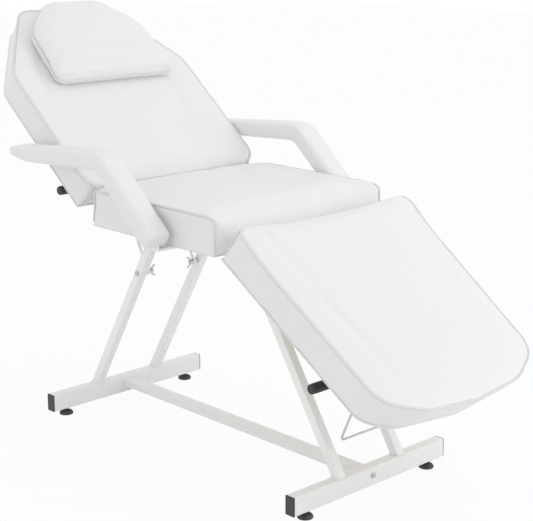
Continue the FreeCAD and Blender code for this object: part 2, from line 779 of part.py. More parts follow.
def build_armrests():
    """Steel bracket, wooden core and padded arm on each side."""
    x = bracket_x()
    low = rail_top - bracket_thickness
    core_y = armrest_offset
    flat = box(x - bracket_width / 2, x + bracket_width / 2, rail_outer, core_y, low, rail_top)
    upright = box(x - bracket_width / 2, x + bracket_width / 2, core_y - bracket_thickness, core_y,
                  low, rail_top + bracket_rise)
    bracket = flat.fuse(upright).removeSplitter()
    bend = [edge for edge in bracket.Edges
            if all(abs(v.Y - core_y) < 1e-6 and abs(v.Z - low) < 1e-6 for v in edge.Vertexes)]
    bracket = bracket.makeFillet(bracket_thickness * 0.9, bend)
    core = armrest_form(armrest_core_thickness, armrest_core_height, armrest_core_height * 0.6,
                        armrest_post_length - armrest_core_end,
                        armrest_tail_length - armrest_core_margin, 1.0)
    core.translate(Vector(0, armrest_core_thickness / 2, 0))
    form = soften(armrest_form(armrest_width, armrest_thickness, armrest_tail_thickness, armrest_post_length,
                               armrest_tail_length, armrest_end_radius), armrest_width)
    slot = box(x - bracket_width / 2 - 1, x + bracket_width / 2 + 1, core_y - bracket_thickness - 1, core_y,
               low - bracket_width, rail_top + bracket_rise + 1)
    arm = form.cut(core).cut(slot)
    for name, shape in (("bracket", bracket), ("core", core), ("pad", arm)):
        node("armrest_%s_left" % name, *shape.Solids)
        node("armrest_%s_right" % name, *mirrored(shape).Solids)


def build_pillow():
    """A D-shaped head pillow with a thin lower lip, on the crown of the backrest."""
    base = backrest_seam + crown_height + pillow_seat_gap
    length = pillow_upper - pillow_lower
    wide = pillow_half_width

    def outline(setback, inset, z):
        lower = pillow_lower + setback
        top = pillow_upper - inset
        side = pillow_lower + 0.55 * length
        head = pillow_head_half_width - inset * 0.4
        points = [(-lower, -wide + inset), (-lower, wide - inset), (-side, wide * 0.95 - inset),
                  (-top, head), (-top, -head), (-side, -wide * 0.95 + inset)]
        return rounded_polygon(points, [24, 24, 120, 70, 70, 120], base + z)

    half = pillow_thickness / 2
    wall = [outline(pillow_lip / 2, 14, 0), outline(0, 2, pillow_lip), outline(pillow_lip, 0, half)]
    face = []
    for step in range(pillow_bands + 1):
        turn = math.radians(90) * step / pillow_bands
        drawn = 1 - math.cos(turn)
        face.append(outline(pillow_lip + pillow_front_slope * drawn, pillow_round * drawn,
                            half + half * math.sin(turn)))
    whole = Part.makeLoft(wall, True, True).fuse(Part.makeLoft(face, True, True)).removeSplitter()
    node("head_pillow", turned(whole, backrest_pin, backrest_angle))


def build():
    """Every piece of the bed, and the joint axes that belong to them."""
    build_base()
    build_feet()
    build_legs()
    build_seat_frame()
    build_seat()
    build_armrests()
    toe = leg_rest_toe_draw
    axes = {}
    for name, towards, outline, pin, angle, under, seam, draws, length, ratio, turns, spread in (
            ("backrest", -1, backrest_outline(), backrest_pin, backrest_angle, backrest_under,
             backrest_seam, [0.0] * 6, backrest_strut_length, backrest_strut_ratio,
             (-backrest_down, backrest_up), backrest_strut_spread),
            ("leg_rest", 1, leg_rest_outline(), leg_rest_pin, leg_rest_angle, leg_rest_under,
             leg_rest_seam, [0.0, toe / 2, toe, toe, toe / 2, 0.0, 0.0], leg_rest_strut_length,
             leg_rest_strut_ratio, (-leg_rest_up, leg_rest_down), leg_rest_strut_spread)):
        pivot = strut_pivot(towards)
        bar = crossbar_rest(pin, angle, under, pivot, length, towards)
        stops = (turns[0], sum(turns) / 2, turns[1])
        path = [local_path(pin, angle, pivot, bar, ratio, turn) for turn in stops]
        rest = local_path(pin, angle, pivot, bar, ratio, 0).x
        section_hardware(name, pin, angle, under, towards, path, rest)
        build_section(name, outline, pin, angle, under, seam, draws)
        build_strut("%s_strut" % name, pivot, bar, spread)
        clear = min(under - point.z for point in path) - leg_size - strut_bar_radius
        print(name, "strut crossbar clears the rails by", round(clear, 2))
        axes["%s_hinge" % name] = pin
        axes["%s_strut_swing" % name] = pivot
        axes["%s_crossbar" % name] = bar
    build_bail(axes["leg_rest_crossbar"])
    build_pillow()
    return axes


def export(axes):
    """Put the origin under the middle of the bed and write one file for each node."""
    os.makedirs("parts", exist_ok=True)
    everything = Part.makeCompound([shape for shapes in nodes.values() for shape in shapes])
    whole = everything.optimalBoundingBox(False)
    shift = Vector(-(whole.XMin + whole.XMax) / 2, 0, 0)
    for name, shapes in nodes.items():
        solids = [solid for shape in shapes for solid in shape.Solids]
        piece = solids[0] if len(solids) == 1 else Part.makeCompound(solids)
        piece.translate(shift)
        piece.exportStep("parts/%s.step" % name)
    for name, point in axes.items():
        place = point + shift
        print(name, [round(value / 1000, 6) for value in (place.x, place.y, place.z)])
    print("nodes", len(nodes), "shift", round(shift.x, 3), "size",
          [round(value, 1) for value in (whole.XLength, whole.YLength, whole.ZLength)])


export(build())
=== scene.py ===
# %% [markdown]
# # A three-section salon bed
# The bed has a seat on a splayed steel frame, a backrest and a leg rest that tilt on hinges, two padded armrests
# and a loose head pillow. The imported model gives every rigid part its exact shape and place. This notebook
# replaces the soft parts with upholstery, gives each surface its finish, and sets the camera and the light.

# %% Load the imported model
import json
import math

import bmesh
import bpy
import numpy as np
from mathutils import Matrix, Vector
from mathutils.bvhtree import BVHTree
from mathutils.kdtree import KDTree


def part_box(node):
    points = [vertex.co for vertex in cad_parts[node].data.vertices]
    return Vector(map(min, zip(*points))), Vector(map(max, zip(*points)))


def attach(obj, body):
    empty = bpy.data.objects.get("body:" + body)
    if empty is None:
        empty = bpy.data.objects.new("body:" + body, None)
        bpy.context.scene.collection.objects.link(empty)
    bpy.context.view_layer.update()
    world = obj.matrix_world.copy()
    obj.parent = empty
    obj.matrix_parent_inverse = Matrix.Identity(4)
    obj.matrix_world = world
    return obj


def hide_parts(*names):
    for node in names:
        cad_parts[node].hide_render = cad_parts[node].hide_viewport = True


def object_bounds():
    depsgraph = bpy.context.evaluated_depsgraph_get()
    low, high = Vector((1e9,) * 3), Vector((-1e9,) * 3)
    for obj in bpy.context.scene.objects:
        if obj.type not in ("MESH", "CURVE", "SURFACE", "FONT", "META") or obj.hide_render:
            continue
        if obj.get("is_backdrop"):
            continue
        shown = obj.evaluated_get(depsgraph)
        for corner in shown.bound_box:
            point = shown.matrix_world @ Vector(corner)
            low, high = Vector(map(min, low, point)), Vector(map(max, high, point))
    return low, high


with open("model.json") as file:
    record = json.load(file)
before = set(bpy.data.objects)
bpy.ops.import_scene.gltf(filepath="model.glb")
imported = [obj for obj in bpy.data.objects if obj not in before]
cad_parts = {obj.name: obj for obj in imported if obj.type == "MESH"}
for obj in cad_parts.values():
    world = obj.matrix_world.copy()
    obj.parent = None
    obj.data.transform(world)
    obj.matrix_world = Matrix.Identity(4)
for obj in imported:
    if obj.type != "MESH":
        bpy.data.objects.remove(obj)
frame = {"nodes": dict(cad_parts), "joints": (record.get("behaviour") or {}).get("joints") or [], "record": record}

LEVEL = Matrix.Identity(4)
scene = bpy.context.scene
scene.view_settings.view_transform = "Standard"
cad_nodes = frame["nodes"]
joints = {joint["name"]: joint for joint in frame["joints"]}
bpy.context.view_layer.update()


def new_object(name, data):
    """An object at the origin, in the scene."""
    made = bpy.data.objects.new(name, data)
    scene.collection.objects.link(made)
    return made


# %% [markdown]
# ## The camera
# The photograph was taken with a long lens from the foot end, at about twice the height of the seat. The camera's
# place and lens were solved from straight edges of known size, and it comes first.

# %% Place the camera
PHOTO_WIDTH = 533
FOCAL_PIXELS = 1360.6
VIEW_AZIMUTH = math.radians(46.43)
VIEW_ELEVATION = math.radians(14.14)

lens = bpy.data.cameras.new("photo_camera")
lens.sensor_width = 36.0
lens.lens = FOCAL_PIXELS * lens.sensor_width / PHOTO_WIDTH
camera = new_object("photo_camera", lens)
camera.location = (2.6197, -2.3879, 1.4058)
camera.rotation_euler = (math.pi / 2 - VIEW_ELEVATION, 0.0, VIEW_AZIMUTH)
scene.camera = camera
print("lens", round(lens.lens, 1), "mm")

# %% [markdown]
# ## A white studio
# White upholstery on a white ground only reads if light comes from a few clear directions. In the photograph the
# surfaces that face the foot end and the far side are the brightest, so the main lamp stands there, rather low: it
# grazes the tops, and every ridge shows. Weak lamps overhead and at the near side round the forms, and the world
# lifts the shadows. The floor shows as white to the camera and still takes a faint shadow.


# %% Nodes
def feed(tree, target, inputs):
    """Give a node's inputs links from sockets, or values."""
    for label, value in inputs.items():
        if isinstance(value, bpy.types.NodeSocket):
            tree.links.new(value, target.inputs[label])
        else:
            target.inputs[label].default_value = value


def add(tree, kind, inputs=None, **properties):
    """Add a node, set its properties and feed its inputs."""
    made = tree.nodes.new(kind)
    for name, value in properties.items():
        setattr(made, name, value)
    feed(tree, made, inputs or {})
    return made


def math_node(tree, operation, first, second):
    """The result of a Math node whose inputs are sockets or numbers."""
    return add(tree, "ShaderNodeMath", {0: first, 1: second}, operation=operation).outputs[0]


def seen_rays(tree):
    """1 for camera, mirror and glass rays, so that they all see the white ground."""
    path = add(tree, "ShaderNodeLightPath").outputs
    mirror = math_node(tree, "MAXIMUM", path["Is Camera Ray"], path["Is Glossy Ray"])
    return math_node(tree, "MAXIMUM", mirror, path["Is Transmission Ray"])


def empty_tree(owner):
    """The node tree of a material or a world, emptied."""
    owner.use_nodes = True
    owner.node_tree.nodes.clear()
    return owner.node_tree


# %% Floor and world
FLOOR_SIZE = 30.0
FLOOR_COLOUR = (0.88, 0.88, 0.88, 1)
FLOOR_GLOW = 0.92
WORLD_LIGHT = 0.84
floor_mesh = bpy.data.meshes.new("floor")
half = FLOOR_SIZE / 2
floor_mesh.from_pydata([(-half, -half, 0), (half, -half, 0), (half, half, 0), (-half, half, 0)], [], [(0, 1, 2, 3)])
floor = new_object("floor", floor_mesh)
floor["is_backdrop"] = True

floor_paint = bpy.data.materials.new("studio_floor")
tree = empty_tree(floor_paint)
matt = add(tree, "ShaderNodeBsdfDiffuse", {"Color": FLOOR_COLOUR})
glow = add(tree, "ShaderNodeEmission")
share = math_node(tree, "MULTIPLY", seen_rays(tree), FLOOR_GLOW)
mix = add(tree, "ShaderNodeMixShader", {0: share, 1: matt.outputs[0], 2: glow.outputs[0]})
add(tree, "ShaderNodeOutputMaterial", {"Surface": mix.outputs[0]})
floor_mesh.materials.append(floor_paint)

scene.world = bpy.data.worlds.new("studio")
tree = empty_tree(scene.world)
lift = math_node(tree, "MULTIPLY", seen_rays(tree), 1.0 - WORLD_LIGHT)
strength = math_node(tree, "ADD", lift, WORLD_LIGHT)
sky = add(tree, "ShaderNodeBackground", {"Color": (1, 1, 1, 1), "Strength": strength})
add(tree, "ShaderNodeOutputWorld", {"Surface": sky.outputs[0]})
print("floor", FLOOR_SIZE, "m, world light", WORLD_LIGHT)

# %% Lamps
BED_MIDDLE = Vector((0.0, 0.0, 0.5))
for name, place, size, power in (("foot_light", (2.9, 1.6, 1.4), 2.0, 20), ("overhead", (0.4, 0.6, 3.4), 2.4, 6),
                                 ("side_fill", (0.4, -3.5, 1.2), 2.0, 6.5)):
    lamp = bpy.data.lights.new(name, "AREA")
    lamp.shape = "SQUARE"
    lamp.size = size
    lamp.energy = power
    stand = new_object(name, lamp)
    stand.location = place
    stand.rotation_euler = (BED_MIDDLE - Vector(place)).to_track_quat("-Z", "Y").to_euler()
    print("lamp", name, power, "W")

# %% [markdown]
# ## Finishes
# Every surface of the bed is smooth and pale, so its character lies in fine grain and in small changes of gloss.
# Four node groups carry that: a pebbled grain, slow patches of handling marks, the soft crinkle of stretched vinyl,
# and the dust that gathers on whatever is near the floor. Each material places them with its own values.


# %% Shared node groups
def new_group(name, inputs, outputs):
    """An empty shader node group with named value sockets, and what its inputs give."""
    group = bpy.data.node_groups.new(name, "ShaderNodeTree")
    for label, value in inputs.items():
        group.interface.new_socket(label, in_out="INPUT", socket_type="NodeSocketFloat").default_value = value
    for label in outputs:
        group.interface.new_socket(label, in_out="OUTPUT", socket_type="NodeSocketFloat")
    return group, add(group, "NodeGroupInput").outputs


def object_place(tree):
    """Coordinates fixed to the piece, in metres."""
    return add(tree, "ShaderNodeTexCoord").outputs["Object"]


def noise(tree, **inputs):
    """A Noise texture's value."""
    return add(tree, "ShaderNodeTexNoise", inputs).outputs["Fac"]


PORE_SHARE = 0.35
tree, given = new_group("pebble_grain", {"Cell Scale": 900.0, "Pore Scale": 2600.0}, ["Height"])
place = object_place(tree)
cells = add(tree, "ShaderNodeTexVoronoi", {"Vector": place, "Scale": given["Cell Scale"]}, feature="SMOOTH_F1")
fine = math_node(tree, "MULTIPLY", noise(tree, Vector=place, Scale=given["Pore Scale"]), PORE_SHARE)
add(tree, "NodeGroupOutput", {"Height": math_node(tree, "ADD", cells.outputs["Distance"], fine)})
grain_group = tree

tree, given = new_group("handling_marks", {"Patch Scale": 7.0, "Spread": 0.2}, ["Patch", "Streak"])
place = object_place(tree)
streak_scale = math_node(tree, "MULTIPLY", given["Patch Scale"], 6.0)
marks = {"Patch": noise(tree, Vector=place, Scale=given["Patch Scale"], Detail=4.0),
         "Streak": noise(tree, Vector=place, Scale=streak_scale, Detail=6.0, Distortion=1.5)}
for label, value in marks.items():
    centred = math_node(tree, "SUBTRACT", value, 0.5)
    marks[label] = math_node(tree, "MULTIPLY", centred, given["Spread"])
add(tree, "NodeGroupOutput", marks)
marks_group = tree

tree, given = new_group("soft_crinkle", {"Crease Scale": 30.0}, ["Height"])
creases = noise(tree, Vector=object_place(tree), Scale=given["Crease Scale"], Detail=3.0, Distortion=0.7)
off_centre = math_node(tree, "SUBTRACT", creases, 0.5)
add(tree, "NodeGroupOutput", {"Height": math_node(tree, "ABSOLUTE", off_centre, 0.0)})
crinkle_group = tree

tree, given = new_group("floor_dust", {"Reach": 0.2, "Amount": 0.3}, ["Mask"])
place = object_place(tree)
upright = add(tree, "ShaderNodeSeparateXYZ", {"Vector": place})
height_share = math_node(tree, "DIVIDE", upright.outputs["Z"], given["Reach"])
low_down = math_node(tree, "MAXIMUM", math_node(tree, "SUBTRACT", 1.0, height_share), 0.0)
patchy = math_node(tree, "MULTIPLY", low_down, noise(tree, Vector=place, Scale=60.0, Detail=8.0))
add(tree, "NodeGroupOutput", {"Mask": math_node(tree, "MULTIPLY", patchy, given["Amount"])})
dust_group = tree
print("node groups", [group.name for group in bpy.data.node_groups])

# %% Materials from the groups
DUST_COLOUR = (0.42, 0.40, 0.37, 1)
GRAIN_HEIGHT = 0.0004
CRINKLE_HEIGHT = 0.002
PATCH_MIDDLE = 0.4
COAT_ROUGHNESS = 0.25


def placed(tree, group, **inputs):
    """What a shared group gives in a material, with the material's own values."""
    return add(tree, "ShaderNodeGroup", {label.replace("_", " "): value for label, value in inputs.items()},
               node_tree=group).outputs


def blended(tree, share, first, second):
    """A mix of two colours."""
    return add(tree, "ShaderNodeMix", {"Factor": share, "A": first, "B": second}, data_type="RGBA").outputs["Result"]


def relief(tree, height, strength, distance, **base):
    """The normal that a Bump node makes of a height."""
    inputs = {"Strength": strength, "Distance": distance, "Height": height, **base}
    return add(tree, "ShaderNodeBump", inputs).outputs["Normal"]


def finish(name, colour, shade, roughness, spread, cell, pore, depth, metallic=0.0, coat=0.0, crinkle=0.0, dust=0.0):
    """A material with grain and crinkle in its bump, and with patches and dust in its colour and gloss."""
    material = bpy.data.materials.new(name)
    material.use_nodes = True
    tree = material.node_tree
    marks = placed(tree, marks_group, Spread=spread)
    tint = blended(tree, math_node(tree, "ADD", marks["Patch"], PATCH_MIDDLE), (*colour, 1), (*shade, 1))
    rough = math_node(tree, "ADD", math_node(tree, "ADD", marks["Streak"], marks["Patch"]), roughness)
    if dust:
        film = placed(tree, dust_group, Amount=dust)["Mask"]
        tint, rough = blended(tree, film, tint, DUST_COLOUR), math_node(tree, "ADD", rough, film)
    base = {}
    if crinkle:
        base["Normal"] = relief(tree, placed(tree, crinkle_group)["Height"], crinkle, CRINKLE_HEIGHT)
    grain = placed(tree, grain_group, Cell_Scale=cell, Pore_Scale=pore)["Height"]
    feed(tree, tree.nodes["Principled BSDF"], {
        "Metallic": metallic, "Coat Weight": coat, "Coat Roughness": COAT_ROUGHNESS, "Base Color": tint,
        "Roughness": rough, "Normal": relief(tree, grain, depth, GRAIN_HEIGHT, **base)})
    return material


white_vinyl = finish("white_vinyl", (0.86, 0.86, 0.86), (0.81, 0.81, 0.81), roughness=0.42, spread=0.16, cell=950,
                     pore=2600, depth=0.35, coat=0.12, crinkle=0.5)
# The piping's vinyl is painted darker than the pad's: painted shade that stands in for the shadow along the seam beside
# the cord.
piping_painted_shade = finish("piping_painted_shade", (0.78, 0.78, 0.78), (0.71, 0.71, 0.71), roughness=0.45, spread=0.16, cell=950,
                      pore=2600, depth=0.35)
powder_coat = finish("powder_coat", (0.95, 0.95, 0.95), (0.92, 0.92, 0.92), roughness=0.34, spread=0.12, cell=420,
                     pore=1500, depth=0.12, dust=0.25)
black_plastic = finish("black_plastic", (0.022, 0.022, 0.023), (0.034, 0.034, 0.035), roughness=0.48, spread=0.2,
                       cell=1300, pore=3200, depth=0.3, dust=0.12)
zinc_plate = finish("zinc_plate", (0.6, 0.6, 0.61), (0.5, 0.5, 0.52), roughness=0.32, spread=0.3, cell=700, pore=2400,
                    depth=0.12, metallic=1.0)
print("finishes", [material.name for material in bpy.data.materials])

# %% [markdown]
# Plywood shows only from below, where the boards lie between the rails. Its face has long grain, made by noise
# that is stretched along the bed.

# %% Plywood
plywood = bpy.data.materials.new("plywood")
plywood.use_nodes = True
tree = plywood.node_tree
stretch = add(tree, "ShaderNodeMapping", {"Vector": object_place(tree), "Scale": (3.0, 60.0, 60.0)})
figure = noise(tree, Vector=stretch.outputs["Vector"], Scale=2.0, Detail=8.0, Distortion=0.8)
wood = add(tree, "ShaderNodeValToRGB", {"Fac": figure})
dark, light = wood.color_ramp.elements
dark.position, dark.color = 0.3, (0.62, 0.53, 0.41, 1)
light.position, light.color = 0.7, (0.78, 0.70, 0.58, 1)
feed(tree, tree.nodes["Principled BSDF"], {
    "Base Color": wood.outputs["Color"], "Roughness": 0.7, "Normal": relief(tree, figure, 0.2, 0.0005)})
print("plywood", len(tree.nodes), "nodes")

# %% Finishes of the rigid parts
slot_finish = {"white_vinyl": white_vinyl, "white_steel": powder_coat, "zinc_steel": zinc_plate,
               "black_plastic": black_plastic, "plywood": plywood}
for part in frame["record"]["subparts"]:
    mesh = cad_nodes[part["node"]].data
    mesh.materials.clear()
    mesh.materials.append(slot_finish[part["material_slot"]])
print("rigid parts finished", len(cad_nodes))

# %% [markdown]
# ## Upholstery: what a pad is
# A salon pad is a slab of foam on a plywood board, wrapped in vinyl that is pulled under the board and stapled.
# The top panel is sewn to the side wall along a piped seam, except at the ends that face the next pad: there the
# panel runs on over the edge in one smooth roll. The pads could be modelled as plain rounded blocks, but the soft
# rise between the seams is what makes them look stuffed. So each pad starts as an even grid of quads, the seam
# and the board hold it in place, and air pressure in a cloth simulation lifts the rest.


# %% Level frames of the three pads
def level_frame(joint, tilt):
    """Takes a section drawn level, with its hinge pin at the origin, to its resting place."""
    return Matrix.Translation(joints[joint]["pos_m"]) @ Matrix.Rotation(math.radians(tilt), 4, "Y")


places = {"seat": LEVEL, "backrest": level_frame("backrest_hinge", 39.0),
          "leg_rest": level_frame("leg_rest_hinge", 35.0)}
bodies = {"seat": "frame", "backrest": "backrest", "leg_rest": "leg_rest"}
print("sections", list(places))


# %% Meshes as arrays
def as_mesh(holder):
    """What an object's modifiers make of it, as a plain mesh."""
    graph = bpy.context.evaluated_depsgraph_get()
    return bpy.data.meshes.new_from_object(holder.evaluated_get(graph))


def corners(mesh):
    """A mesh's vertices as an array."""
    flat = np.empty(len(mesh.vertices) * 3)
    mesh.vertices.foreach_get("co", flat)
    return flat.reshape(-1, 3)


def set_corners(mesh, points):
    """Move a mesh's vertices to the rows of an array."""
    mesh.vertices.foreach_set("co", np.ascontiguousarray(points).ravel())
    mesh.update()


def smooth_shaded(mesh):
    """A mesh with smooth shading on every face."""
    mesh.polygons.foreach_set("use_smooth", [True] * len(mesh.polygons))
    return mesh


def unit(value):
    """A value kept between 0 and 1."""
    return np.clip(value, 0, 1)


# %% An even grid of quads from a modelled solid
BOARD_GROWTH = (1.003, 1.003, 1.01)


def level_solid(nodes, place):
    """Copies of some modelled solids as one mesh, brought level. Each after the first is a hair larger."""
    whole = bmesh.new()
    level = place.inverted()
    for index, node in enumerate(nodes):
        part = bmesh.new()
        part.from_mesh(cad_nodes[node].data)
        bmesh.ops.remove_doubles(part, verts=part.verts, dist=1e-6)
        bmesh.ops.transform(part, matrix=level, verts=part.verts)
        if index:
            middle = sum((v.co for v in part.verts), Vector()) / len(part.verts)
            bmesh.ops.scale(part, vec=BOARD_GROWTH, verts=part.verts, space=Matrix.Translation(-middle))
        copy = bpy.data.meshes.new("part")
        part.to_mesh(copy)
        part.free()
        whole.from_mesh(copy)
        bpy.data.meshes.remove(copy)
    solid = bpy.data.meshes.new("solid")
    whole.to_mesh(solid)
    whole.free()
    return solid


def level_points(section, part):
    """The vertices of one of a section's modelled solids, brought level."""
    return corners(level_solid([section + part], places[section]))


def even_quads(solid, voxel):
    """A closed mesh as even quads."""
    rough = new_object("rough", solid)
    grid = rough.modifiers.new("grid", "REMESH")
    grid.mode = "VOXEL"
    grid.voxel_size = voxel
    made = as_mesh(rough)
    bpy.data.objects.remove(rough)
    return made


def surface_tree(mesh):
    """A search tree over a mesh's faces."""
    shell = bmesh.new()
    shell.from_mesh(mesh)
    found = BVHTree.FromBMesh(shell)
    shell.free()
    return found


def snapped(points, solid, lowest):
    """Points above a height moved onto a modelled surface, which takes the steps of the grid out."""
    surface = surface_tree(solid)
    moved = points.copy()
    for index in np.flatnonzero(points[:, 2] > lowest):
        moved[index] = surface.find_nearest(Vector(points[index]))[0]
    return moved


def finer(piece):
    """One step of subdivision, kept in the mesh."""
    smooth = piece.modifiers.new("smooth", "SUBSURF")
    smooth.levels = smooth.render_levels = 1
    old = piece.data
    made = as_mesh(piece)
    piece.modifiers.clear()
    piece.data = smooth_shaded(made)
    bpy.data.meshes.remove(old)


def relaxed(mesh, points, weight, rounds):
    """Move each vertex towards the mean of its neighbours, by a weight for each vertex."""
    flat = np.empty(len(mesh.edges) * 2, dtype=int)
    mesh.edges.foreach_get("vertices", flat)
    ends = np.concatenate([flat[0::2], flat[1::2]])
    others = np.concatenate([flat[1::2], flat[0::2]])
    count = len(points)
    degree = np.bincount(ends, minlength=count)[:, None]
    for _ in range(rounds):
        mean = np.stack([np.bincount(ends, points[others, axis], count) for axis in range(3)], 1) / degree
        points = points + weight[:, None] * (mean - points)
    return points


# %% [markdown]
# The seam is the line where a pad is widest. It is read from the modelled solid, cut into short steps of even
# length, and used three times: it holds the cloth, it carries the piping, and it measures how far from the edge
# a point of the top lies.

# %% Seam lines
SEAM_STEP = 0.004
WALL_FOOT = 0.006


def seam_height(points):
    """The height at which a pad is widest."""
    widest = points[:, 1].max()
    return points[points[:, 1] > widest - 1e-4][:, 2].mean()


def closed_steps(ring, step):
    """Points at even steps along a closed line."""
    loop = np.vstack([ring, ring[:1]])
    lengths = np.concatenate([[0], np.cumsum(np.linalg.norm(np.diff(loop, axis=0), axis=1))])
    stops = np.linspace(0, lengths[-1], max(8, int(lengths[-1] / step)), endpoint=False)
    return np.stack([np.interp(stops, lengths, loop[:, axis]) for axis in range(loop.shape[1])], 1)


def seam_ring(points, height, step=SEAM_STEP):
    """The outline of a pad at its seam, as points at even steps."""
    flat = np.unique(np.round(points[abs(points[:, 2] - height) < 3e-4][:, :2], 6), axis=0)
    middle = (flat.min(0) + flat.max(0)) / 2
    order = np.argsort(np.arctan2(flat[:, 1] - middle[1], flat[:, 0] - middle[0]))
    return closed_steps(flat[order], step)


def at_height(ring, height):
    """A flat line at a height."""
    return np.column_stack([ring, np.full(len(ring), height)])


def stretches(ring, kept):
    """The unbroken stretches of a closed line that are kept."""
    start = np.flatnonzero(kept & ~np.roll(kept, 1))
    if len(start):
        ring, kept = np.roll(ring, -start[0], axis=0), np.roll(kept, -start[0])
    lines, current = [], []
    for point, keep in zip(ring, kept):
        if keep:
            current.append(point)
        elif current:
            lines.append(np.array(current))
            current = []
    return lines + ([np.array(current)] if current else [])


def turned_down(line, under):
    """A seam line with both of its ends led down the wall."""
    drop = np.arange(line[0, 2] - SEAM_STEP, under + WALL_FOOT, -SEAM_STEP)
    first, last = [np.column_stack([np.tile(end[:2], (len(drop), 1)), drop]) for end in line[[0, -1]]]
    return np.vstack([first[::-1], line, last])


def distance_to(points, line):
    """How far each point is from the nearest point of a line."""
    tree = KDTree(len(line))
    for index, place in enumerate(line):
        tree.insert(place, index)
    tree.balance()
    return np.array([tree.find(point)[2] for point in points])


# %% [markdown]
# The simulation inflates the grid for twenty frames. How far a point may go is limited smoothly, more on the top
# than on the walls, so that the pad ends as full as the photograph shows and no fuller.

# %% Inflate
FRAMES = 20


def inflated(piece, held, limit):
    """Where air pressure takes the vertices of a closed mesh, within a limit for each vertex."""
    start = corners(piece.data)
    group = piece.vertex_groups.new(name="held")
    group.add([int(index) for index in np.flatnonzero(held)], 1.0, "REPLACE")
    cloth = piece.modifiers.new("cloth", "CLOTH")
    cloth.settings.use_pressure = True
    cloth.settings.uniform_pressure_force = 4.0
    cloth.settings.vertex_group_mass = group.name
    cloth.settings.tension_stiffness = 30.0
    cloth.settings.compression_stiffness = 30.0
    cloth.settings.bending_stiffness = 4.0
    cloth.settings.effector_weights.gravity = 0.0
    cloth.point_cache.frame_start = 1
    cloth.point_cache.frame_end = FRAMES
    for step in range(1, FRAMES + 1):
        scene.frame_set(step)
    graph = bpy.context.evaluated_depsgraph_get()
    moved = corners(piece.evaluated_get(graph).data) - start
    piece.modifiers.clear()
    piece.vertex_groups.clear()
    scene.frame_set(1)
    length = np.maximum(np.linalg.norm(moved, axis=1), 1e-9)
    bounded = limit * np.tanh(length / np.maximum(limit, 1e-9))
    print(piece.name, "rose by up to", round(length.max() * 1000, 1), "mm, kept", round(bounded.max() * 1000, 1))
    return start + moved * (bounded / length)[:, None]


# %% [markdown]
# Vinyl over old foam is not perfectly even. It stands in a low ridge beside the seam where the foam is cut, then
# dips in a shallow valley, and it gathers in short folds near the corners. These are added as small heights on
# the top, measured from the edge of the pad.

# %% Ridges, valleys and folds
SEAM_DEPTH, LOW_SEAM_DEPTH = 0.0042, 0.0014
PUCKER_LENGTH = 0.034
CREASE_LENGTH, CREASE_FADE = 0.5, 0.08
CORNER_EASE = 0.08


def half_width_at(ring, x):
    """Half the pad's width at given places along it."""
    side = ring[ring[:, 1] > 0]
    side = side[np.argsort(side[:, 0])]
    return np.interp(x, side[:, 0], side[:, 1])


def bell(value, centre, width):
    """A smooth bump of height 1."""
    return np.exp(-((value - centre) / width) ** 2)


def slow_wave(value, length, phase):
    """A slow, uneven wave between about -1 and 1."""
    turn = 2 * math.pi * value / length
    return 0.6 * np.sin(turn + phase) + 0.4 * np.sin(1.73 * turn + 2.1 * phase)


def corner_folds(points, start, end, width, height):
    """A short fold on the top of a pad beside each corner of an end, between two points of its plan."""
    rise = np.zeros(len(points))
    for side in (-1, 1):
        first = np.array([start[0], side * start[1]])
        run = np.array([end[0], side * end[1]]) - first
        offset = points[:, :2] - first
        share = unit(offset @ run / (run @ run))
        gap = np.linalg.norm(offset - share[:, None] * run, axis=1)
        rise += height * bell(gap, 0, width) * np.sin(math.pi * share) ** 0.5
    return rise


def sewn_in(mesh, lines, lowest, reach=0.005):
    """Draw a pad in along its seams, deeply where a seam lies above a given height."""
    points = corners(mesh)
    normals = np.empty(len(points) * 3)
    mesh.vertex_normals.foreach_get("vector", normals)
    whole = np.vstack(lines)
    high = whole[:, 2] >= lowest
    pull = np.zeros(len(points))
    pucker = 1 + 0.3 * slow_wave(points[:, 0] + 1.3 * points[:, 1], PUCKER_LENGTH, 0.5)
    for stretch, depth in ((whole[high], SEAM_DEPTH), (whole[~high], LOW_SEAM_DEPTH)):
        if len(stretch):
            pull = np.maximum(pull, depth * bell(distance_to(points, stretch), 0, reach))
    set_corners(mesh, points - normals.reshape(-1, 3) * (pull * pucker)[:, None])


def onto_arc(first, second):
    """Which points lie in a square's corner, and the share that takes its edges onto an arc."""
    share = np.maximum(first, second) / np.maximum(np.hypot(first, second), 1e-9)
    return (first > 0) & (second > 0), share


def round_corners(points, end, sign, half, radius):
    """Draw the two square corners at a pad's end onto arcs."""
    moved = points.copy()
    x, y = points[:, 0], points[:, 1]
    gap_x, gap_y = radius - (x - end) * sign, abs(y) - (half - radius)
    corner, share = onto_arc(gap_x, gap_y)
    moved[:, 0] = np.where(corner, end + sign * (radius - gap_x * share), x)
    moved[:, 1] = np.where(corner, np.sign(y) * (half - radius + gap_y * share), y)
    return moved


def rolled_over(points, end, sign, half, reach, drop):
    """Bend the edge between a pad's top and its end onto an arc, less so beside the corners."""
    moved = points.copy()
    x, z = points[:, 0], points[:, 2]
    ease = unit((half - abs(points[:, 1])) / CORNER_EASE)
    ease = 0.25 + 0.75 * ease ** 2 * (3 - 2 * ease)
    highest = z.max()
    gap_x, gap_z = 1 - (x - end) * sign / (reach * ease), 1 - (highest - z) / (drop * ease)
    bent, share = onto_arc(gap_x, gap_z)
    moved[:, 0] = np.where(bent, end + sign * reach * ease * (1 - gap_x * share), x)
    moved[:, 2] = np.where(bent, highest - drop * ease * (1 - gap_z * share), z)
    return moved


